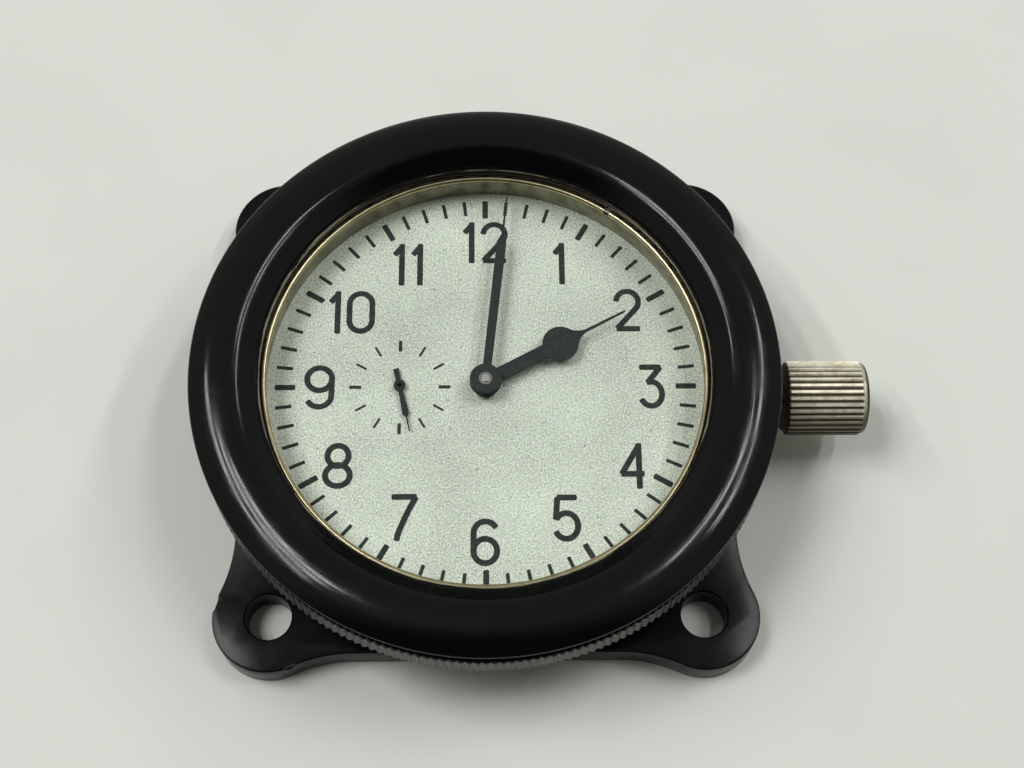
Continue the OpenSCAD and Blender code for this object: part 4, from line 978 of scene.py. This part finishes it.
@dataclass
class Case:
    """Moulded case: a flange with four drilled ears round a plain cup."""

    side: float = 34.0
    ear_at: float = 29.0
    ear_r: float = 7.5
    hollow_r: float = 20.0
    flange: float = 4.8
    edge: float = 0.35
    cup_r: float = 33.98
    cup_in_r: float = 31.0
    cup_foot_z: float = 0.6
    rim_z: float = 17.0
    floor_z: float = 2.6
    hole_r: float = 3.1
    hole_chamfer: float = 0.2
    stem_at: Point = (32.5, 9.85)
    stem_bore_r: float = 2.02
    stem_bore_len: float = 6.0
    # How far a cutting tool passes the face that it leaves, and its chamfer the rim
    overrun: float = 1.0
    chamfer_overrun: float = 0.3
    # Both on the lower left ear
    chips: tuple[Chip, ...] = (
        Chip((-36.2, -27.0), (0.75, 1.25, 1.5), 165.0, 3),
        Chip((-25.7, -36.2), (0.8, 1.1, 1.3), -65.0, 8),
    )

    def quarter(self) -> list[Point]:
        """Draw a quarter of the flange's outline.

        Returns:
            Points from the middle of one side to the middle of the next.
        """
        far = self.side + self.hollow_r
        near = self.ear_at - math.sqrt((self.hollow_r + self.ear_r) ** 2 - (far - self.ear_at) ** 2)
        lean = math.degrees(math.atan2(self.ear_at - near, far - self.ear_at))
        return [
            (self.side, 0.0),
            *arc(far, near, self.hollow_r, self.hollow_r, 180, 180 - lean, 12),
            *arc(self.ear_at, self.ear_at, self.ear_r, self.ear_r, -lean, 90 + lean, 40)[1:-1],
            *arc(near, far, self.hollow_r, self.hollow_r, lean - 90, -90, 12),
            (0.0, self.side),
        ]

    def plate(self) -> bpy.types.Object:
        """Model the flange as a slab with rounded rims.

        Returns:
            The flange.
        """
        plate = Bench.trace([Vector((x, y, 0)) * MM for x, y in self.quarter()])
        bpy.ops.mesh.select_all(action="SELECT")
        for _ in range(3):
            bpy.ops.mesh.duplicate()
            bpy.ops.transform.rotate(value=math.pi / 2, orient_axis="Z", center_override=(0, 0, 0))
        bpy.ops.mesh.select_all(action="SELECT")
        bpy.ops.mesh.remove_doubles(threshold=WELD)
        bpy.ops.mesh.edge_face_add()
        bpy.ops.mesh.extrude_region_move(TRANSFORM_OT_translate={"value": (0, 0, self.flange * MM)})
        Bench.weld()
        for level in (0.0, self.flange):
            Bench.pick(lambda p: abs(p.z - level) < NEAR)
            bpy.ops.mesh.bevel(offset=self.edge * MM, segments=3, affect="EDGES")
        Bench.clear()
        return plate

    def drill(self) -> bpy.types.Object:
        """Model the drill of the first bolt hole, with a chamfer for the front rim.

        Returns:
            The tool body.
        """
        low, high = -self.overrun, self.flange - self.hole_chamfer
        drill = Bench.rod(72, self.hole_r, high - low, (self.ear_at, self.ear_at, (high + low) / 2))
        Bench.edit(drill)
        Bench.pick(lambda p: p.z > 0)
        rise = self.hole_chamfer + self.chamfer_overrun
        share = 1 + rise / self.hole_r
        bpy.ops.mesh.extrude_region_move(TRANSFORM_OT_translate={"value": (0, 0, rise * MM)})
        bpy.ops.transform.resize(value=(share, share, 1))
        Bench.clear()
        return drill

    def build(self) -> None:
        """Mould the case and put it in place of the solid."""
        case = self.plate()
        foot = self.cup_foot_z
        cup = Bench.rod(240, self.cup_r, self.rim_z - foot, (0, 0, (self.rim_z + foot) / 2))
        Bench.cut(case, cup, Cut.ADD)
        mouth = self.rim_z + self.overrun
        hollow = Bench.rod(200, self.cup_in_r, mouth - self.floor_z, (0, 0, (mouth + self.floor_z) / 2))
        Bench.cut(case, hollow, Cut.TAKE)
        drill = self.drill()
        for tool in (*(Bench.copy(drill, turn=turn) for turn in (90, 180, 270)), drill):
            Bench.cut(case, tool, Cut.TAKE)
        x, z = self.stem_at
        Bench.cut(case, Bench.rod(48, self.stem_bore_r, self.stem_bore_len, (x, 0, z), lying=True), Cut.TAKE)
        for chip in self.chips:
            Bench.cut(case, chip.lump(self.flange), Cut.TAKE)
        Bench.settle(case, "case_shell", CASE_PHENOLIC, 28.0)
        Bench.fit(case, "case", "black_phenolic", "case_body")


def loop(cy: float, rx: float, ry: float) -> list[list[Point]]:
    """Return a closed bowl of a numeral as its right and left halves."""
    return [arc(0, cy, rx, ry, 90, -90, 24), arc(0, cy, rx, ry, 90, 270, 24)]


def turned(strokes: Sequence[Sequence[Point]]) -> list[list[Point]]:
    """Return the strokes of a numeral turned upside down."""
    return [[(-x, -y) for x, y in stroke] for stroke in strokes]


SIX = [
    arc(0.02, 0.44, 1, 0.56, 30, 180) + arc(0, -0.42, 1, 0.58, 180, 360, 24)[1:],
    arc(0, -0.42, 1, 0.58, 0, 180, 24),
]
# Strokes of each numeral in a square that reaches one unit each way
STROKES: dict[str, list[list[Point]]] = {
    "0": [arc(0, 0.44, 1, 0.56, 90, 0) + arc(0, -0.44, 1, 0.56, 0, -90),
          arc(0, 0.44, 1, 0.56, 90, 180) + arc(0, -0.44, 1, 0.56, 180, 270)],
    "1": [[(1, 1.09), (1, -1.09)], [(0.9, 0.96), (-1, 0.56)]],
    "2": [arc(0, 0.44, 1, 0.56, 174, -36, 24) + [(-0.93, -0.97)], [(-0.95, -1), (1, -1)]],
    "3": [[(-0.95, 1), (0.9, 1)], [(0.88, 0.97), (-0.28, 0.22)], arc(0, -0.38, 1, 0.62, 108, -152, 30)],
    "4": [[(0.6, 1), (-1, -0.38)], [(-1, -0.4), (1, -0.4)], [(0.6, 1.09), (0.6, -1.09)]],
    "5": [[(-0.72, 1), (0.85, 1)], [(-0.74, 0.98), (-0.88, -0.04)], arc(0, -0.38, 1, 0.62, 148, -152, 30)],
    "6": SIX,
    "7": [[(-1, 1), (0.95, 1)], [(0.93, 0.97), (0.36, 0.36), (-0.2, -0.36), (-0.5, -0.8), (-0.6, -1.09)]],
    "8": [*loop(0.49, 0.86, 0.51), *loop(-0.48, 1, 0.52)],
    "9": turned(SIX),
}


@dataclass
class DialPrint:
    """Black print on the dial: minute track, hour numerals and the small seconds track."""

    top_z: float = 13.9
    ink: float = 0.02
    lift: float = 0.0005
    minute_r: Point = (26.1, 28.34)
    minute_w: float = 0.48
    hour_r: Point = (25.55, 28.34)
    hour_w: float = 0.77
    seconds_at: Point = (-11.53, 0.0)
    seconds_r: Point = (5.2, 6.8)
    seconds_w: Point = (0.47, 0.31)
    height: float = 6.45
    stroke: float = 0.8
    one_width: float = 1.73
    # Centre of each number and the width of its digits
    numbers: tuple[tuple[str, Point, float], ...] = (
        ("12", (-0.04, 21.78), 3.84), ("1", (10.12, 18.48), 1.73), ("2", (19.45, 11.32), 3.84),
        ("3", (22.24, -0.06), 3.7), ("4", (19.36, -11.4), 3.65), ("5", (10.45, -18.59), 3.86),
        ("6", (-0.12, -21.82), 3.85), ("7", (-10.66, -18.4), 3.96), ("8", (-19.52, -11.2), 4.04),
        ("9", (-22.33, 0.02), 4.14), ("10", (-18.31, 11.12), 3.9), ("11", (-10.76, 18.38), 1.73),
    )
    digit_gap: float = 0.8
    # Depth of the rounded ends of a stroke, as a share of its half-width
    cap: float = 0.35
    cap_steps: int = 6

    def stroke_slab(self, path: Sequence[Point], width: float, rank: int) -> bpy.types.Object:
        """Print one stroke.

        Args:
            path: middle line of the stroke, in millimetres.
            width: width of the stroke.
            rank: strokes that cross lie a trace apart, in this order.

        Returns:
            The stroke as an object, open in edit mode.
        """
        half = width / 2
        sides: list[Vector] = []
        for i in range(len(path)):
            before, after = Vector(path[max(i - 1, 0)]), Vector(path[min(i + 1, len(path) - 1)])
            along = (after - before).normalized()
            sides.append(Vector((-along.y, along.x)) * half)
        left = [Vector(p) + n for p, n in zip(path, sides)]
        right = [Vector(p) - n for p, n in zip(path, sides)]
        outline = [*left, *self.end_cap(path[-1], sides[-1]),
                   *reversed(right), *self.end_cap(path[0], -sides[0])]
        top = self.top_z + self.ink + rank * self.lift
        return Bench.slab([(p.x, p.y) for p in outline], self.top_z, top)

    def end_cap(self, end: Point, side: Vector) -> list[Vector]:
        """Return the points that round one end of a stroke, from its left side to its right.

        Args:
            end: end of the middle line.
            side: from the middle line to the left side.

        Returns:
            Points between the two sides.
        """
        out = Vector((side.y, -side.x)) * self.cap
        turns = (math.pi * k / self.cap_steps for k in range(1, self.cap_steps))
        return [Vector(end) + side * math.cos(t) + out * math.sin(t) for t in turns]

    def track(self, reach: Point, width: float, turns: Sequence[float],
              centre: Point = (0.0, 0.0)) -> list[bpy.types.Object]:
        """Print one kind of tick and copy it round its track.

        Args:
            reach: radius of the inner and of the outer end.
            width: width of the tick.
            turns: degrees from twelve, the same to both sides.
            centre: centre of the track.

        Returns:
            The ticks.
        """
        inset = self.cap * width / 2
        first = self.stroke_slab([(centre[0], centre[1] + reach[0] + inset),
                                  (centre[0], centre[1] + reach[1] - inset)], width, 0)
        ticks = [Bench.copy(first, turn=turn, centre=centre) for turn in turns]
        Bench.clear()
        bpy.data.objects.remove(first)
        return ticks

    def digit(self, sign: str, width: float) -> bpy.types.Object:
        """Print one digit at the middle of the dial.

        Args:
            sign: the digit.
            width: its width.

        Returns:
            All its strokes as one object.
        """
        half_x, half_y = (width - self.stroke) / 2, (self.height - self.stroke) / 2
        strokes = [self.stroke_slab([(u * half_x, v * half_y) for u, v in path], self.stroke, rank)
                   for rank, path in enumerate(STROKES[sign])]
        return Bench.join(strokes)

    def number_ring(self) -> list[bpy.types.Object]:
        """Print each kind of digit once and copy it to its places among the hours.

        Returns:
            All the digits.
        """
        places: dict[str, list[Point]] = {}
        width_of: dict[str, float] = {}
        for word, centre, wide in self.numbers:
            widths = [self.one_width if sign == "1" else wide for sign in word]
            x = centre[0] - (sum(widths) + self.digit_gap * (len(word) - 1)) / 2
            for sign, width in zip(word, widths):
                places.setdefault(sign, []).append((x + width / 2, centre[1]))
                width_of[sign] = width
                x += width + self.digit_gap
        made = []
        for sign, spots in places.items():
            first = self.digit(sign, width_of[sign])
            made += [Bench.copy(first, shift=spot) for spot in spots]
            Bench.clear()
            bpy.data.objects.remove(first)
        return made

    def build(self) -> None:
        """Print the three groups and lay them on the dial."""
        minutes = [
            *self.track(self.minute_r, self.minute_w, [6 * m for m in range(60) if m % 5]),
            *self.track(self.hour_r, self.hour_w, range(0, 360, 30)),
        ]
        quarters, others = range(0, 360, 90), [30 * k for k in range(12) if k % 3]
        seconds = [
            *self.track(self.seconds_r, self.seconds_w[0], quarters, self.seconds_at),
            *self.track(self.seconds_r, self.seconds_w[1], others, self.seconds_at),
        ]
        groups = {"minute_track": minutes, "seconds_track": seconds, "hour_numerals": self.number_ring()}
        for name, group in groups.items():
            piece = Bench.settle(Bench.join(group), name, DIAL_INK)
            Bench.fit(piece, "case", "hand_black")


@dataclass
class Rehaut:
    """Turned ring wall between dial and glass, with broken edges."""

    inner_r: float = 29.45
    outer_r: float = 30.9
    low_z: float = 13.9
    high_z: float = 17.4
    edge: float = 0.12
    steps: int = 240

    def build(self) -> None:
        """Turn the ring and put it in place of the solid."""
        ring = Bench.lathe([
            (self.inner_r, self.low_z + self.edge), (self.inner_r + self.edge, self.low_z),
            (self.outer_r, self.low_z), (self.outer_r, self.high_z),
            (self.inner_r + self.edge, self.high_z), (self.inner_r, self.high_z - self.edge)], self.steps)
        Bench.settle(ring, "rehaut_wall", REHAUT)
        Bench.fit(ring, "case", "rehaut_nickel", "rehaut_ring")


@dataclass
class Crown:
    """Grooved winding crown with a coned neck and a rounded end."""

    axis_z: float = 9.85
    neck_x: float = 40.4
    knurl_x: Point = (40.85, 50.9)
    end_x: float = 51.8
    ridge_r: float = 5.07
    root_r: float = 4.72
    neck_r: float = 4.35
    pocket_r: float = 2.3
    pocket_len: float = 4.2
    grooves: int = 34
    # Depth of the corners of one groove and its ridge, as shares of the full one
    groove_shape: tuple[float, ...] = (0.0, 0.0, 0.0, 0.85, 1.0, 0.85)
    # Mean depth of a groove, where its ends run into a plain round
    mean_share: float = 0.45
    # How far the full ridges end before the knurl does, and the length of the run-out, at neck and end
    inset: Point = (0.2, 0.15)
    run_out: Point = (0.3, 0.2)
    neck_drop: float = 0.3
    cap_drop: float = 0.95
    cap_step: int = 15

    def grow(self, length: float, radius: float, now: float) -> None:
        """Extrude the selected rim along the crown's axis and change its radius.

        Args:
            length: step along X.
            radius: radius of the new rim.
            now: radius of the rim that is selected.
        """
        bpy.ops.mesh.extrude_edges_move(TRANSFORM_OT_translate={"value": (length * MM, 0, 0)})
        share = radius / now
        bpy.ops.transform.resize(value=(1, share, share), center_override=(0, 0, self.axis_z * MM))

    def build(self) -> None:
        """Model the crown round its grooves and put it in place of the solid."""
        per_groove = len(self.groove_shape)
        sides = self.grooves * per_groove
        low, high = self.knurl_x[0] + self.inset[0], self.knurl_x[1] - self.inset[1]
        half = (high - low) / 2
        crown = Bench.rod(sides, self.ridge_r, 2 * half, (low + half, 0, self.axis_z),
                          lying=True, closed=False)
        Bench.edit(crown)
        depth = self.ridge_r - self.root_r
        for step, part in enumerate(self.groove_shape):
            if part == 0:
                continue
            Bench.pick(lambda p: round(math.atan2(p.y, p.x) / FULL_TURN * sides) % per_groove == step)
            share = 1 - part * depth / self.ridge_r
            bpy.ops.transform.resize(value=(1, share, share), center_override=(0, 0, self.axis_z * MM))
        mean = self.ridge_r - self.mean_share * depth
        # Neck end: chamfered ridges, cone, then the pocket for the tube
        neck_run, end_run = self.run_out
        Bench.pick(lambda p: p.z < NEAR - half)
        bpy.ops.mesh.extrude_edges_move(TRANSFORM_OT_translate={"value": (-neck_run * MM, 0, 0)})
        bpy.ops.transform.tosphere(value=1.0)
        neck = mean - self.neck_drop
        share = neck / mean
        bpy.ops.transform.resize(value=(1, share, share), center_override=(0, 0, self.axis_z * MM))
        self.grow(self.neck_x - low + neck_run, self.neck_r, neck)
        self.grow(0.0, self.pocket_r, self.neck_r)
        self.grow(self.pocket_len, self.pocket_r, self.pocket_r)
        bpy.ops.mesh.edge_face_add()
        # Outer end: chamfered ridges and a rounded cap
        Bench.pick(lambda p: p.z > half - NEAR)
        bpy.ops.mesh.extrude_edges_move(TRANSFORM_OT_translate={"value": (end_run * MM, 0, 0)})
        bpy.ops.transform.tosphere(value=1.0)
        now = mean
        cap = self.end_x - high - end_run
        for turn in range(self.cap_step, 91, self.cap_step):
            there = mean - self.cap_drop * (1 - math.cos(math.radians(turn)))
            step = cap * (math.sin(math.radians(turn)) - math.sin(math.radians(turn - self.cap_step)))
            self.grow(step, there, now)
            now = there
        bpy.ops.mesh.edge_face_add()
        Bench.weld()
        Bench.settle(crown, "crown_knob", CROWN_NICKEL, 24.0)
        Bench.fit(crown, "crown", "crown_nickel", "crown")


@dataclass
class Movement:
    """The solids that stay as they are: dial plate, hands, glass, seals and the going works."""

    replaced: tuple[str, ...] = ("case_body", "bezel", "rehaut_ring", "crown")

    def dress(self) -> None:
        """Give every solid that shows the finish of its material slot."""
        for row in frame["record"]["subparts"]:
            if row["node"] in self.replaced:
                continue
            solid = frame["nodes"][row["node"]]
            finish = ARBORED.get(row["node"], SLOT_FINISH[row["material_slot"]])
            for place in solid.material_slots:
                place.material = finish.material()
            log.info("%s: %s", row["node"], finish.name)


@dataclass(frozen=True)
class Tube:
    """A long ceiling lamp, which the bezel shows as a thin line."""

    name: str
    ends: tuple[Point, Point]
    height: float = 2.0
    width: float = 0.11
    radiance: float = 25.5

    def hang(self) -> None:
        """Hang the lamp level over the table, looking down."""
        Bench.clear()
        (x0, y0), (x1, y1) = self.ends
        bpy.ops.object.light_add(type="AREA", location=((x0 + x1) / 2, (y0 + y1) / 2, self.height),
                                 rotation=(0, 0, math.atan2(y1 - y0, x1 - x0)))
        lamp = bpy.context.object
        lamp.name = self.name
        lamp.data.shape = "RECTANGLE"
        lamp.data.size, lamp.data.size_y = math.hypot(x1 - x0, y1 - y0), self.width
        lamp.data.energy = math.pi * lamp.data.size * self.width * self.radiance


@dataclass
class Studio:
    """Pale table, soft lamps and the camera at the photograph's view."""

    floor_size: float = 6.0
    floor_drop: float = 0.02
    sky_color: str = "#F6F8F2"
    sky_strength: float = 0.36
    # The near side of the room is dark, down to this share of the sky's full light
    near_share: float = 0.06
    side_light: float = 0.45
    # Heading, from near to far, over which the room grows light
    dusk: Point = (-0.42, 0.0)
    lens: float = 60.0
    camera_at: tuple[float, float, float] = (0.734, -88.746, 225.924)
    camera_turn: tuple[float, float, float] = (22.847, -0.553, -0.491)
    clip_start: float = 0.01
    # Ends of each lamp in metres, as the bezel's reflections show them
    lamps: tuple[Tube, ...] = (
        Tube("tube_left_low", ((-1.8, 1.08), (-1.08, -0.42))),
        Tube("tube_left_mid", ((-1.16, 0.66), (-0.8, -0.26))),
        Tube("tube_left_high", ((-0.86, 0.54), (-0.58, -0.1))),
        Tube("tube_right_high", ((0.96, 0.8), (0.72, 0.0))),
        Tube("tube_right_low", ((1.84, 1.64), (1.27, -0.06))),
    )

    def build(self) -> None:
        """Lay the table, light it and set the camera."""
        Bench.clear()
        bpy.ops.mesh.primitive_plane_add(size=self.floor_size, location=(0, 0, -self.floor_drop * MM))
        floor = Bench.settle(bpy.context.object, "table", FLOOR_COAT)
        world = bpy.data.worlds.new("studio")
        bpy.context.scene.world = world
        world.use_nodes = True
        world.node_tree.nodes.clear()
        tree = world.node_tree
        heading = add_node(tree, "ShaderNodeSeparateXYZ", links={
            "Vector": add_node(tree, "ShaderNodeTexCoord").outputs["Generated"]})
        aside = add_node(tree, "ShaderNodeMath", {"operation": "ABSOLUTE"}, links={0: heading.outputs["X"]})
        lit = add_node(tree, "ShaderNodeMath", {"operation": "MULTIPLY_ADD"}, {1: self.side_light},
                       {0: aside.outputs["Value"], 2: heading.outputs["Y"]})
        level = add_node(tree, "ShaderNodeMapRange", {"interpolation_type": "SMOOTHSTEP"}, {
            "From Min": self.dusk[0], "From Max": self.dusk[1],
            "To Min": self.near_share * self.sky_strength, "To Max": self.sky_strength},
            {"Value": lit.outputs["Value"]})
        sky = add_node(tree, "ShaderNodeBackground", values={"Color": linear(self.sky_color)},
                       links={"Strength": level.outputs["Result"]})
        add_node(tree, "ShaderNodeOutputWorld", links={"Surface": sky.outputs["Background"]})
        for lamp in self.lamps:
            lamp.hang()
        Bench.clear()
        turn = Euler([math.radians(a) for a in self.camera_turn], "XYZ")
        bpy.ops.object.camera_add(location=Vector(self.camera_at) * MM, rotation=turn)
        camera = bpy.context.object
        camera.data.lens = self.lens
        camera.data.clip_start = self.clip_start
        bpy.context.scene.camera = camera
        bpy.context.scene.view_settings.view_transform = "Standard"


def main() -> None:
    """Build the studio and every piece of the clock, in order."""
    logging.basicConfig(level=logging.INFO, format="%(name)s: %(message)s")
    Studio().build()
    Case().build()
    Bezel().build()
    Rehaut().build()
    DialPrint().build()
    Crown().build()
    Movement().dress()


if __name__ == "__main__":
    main()
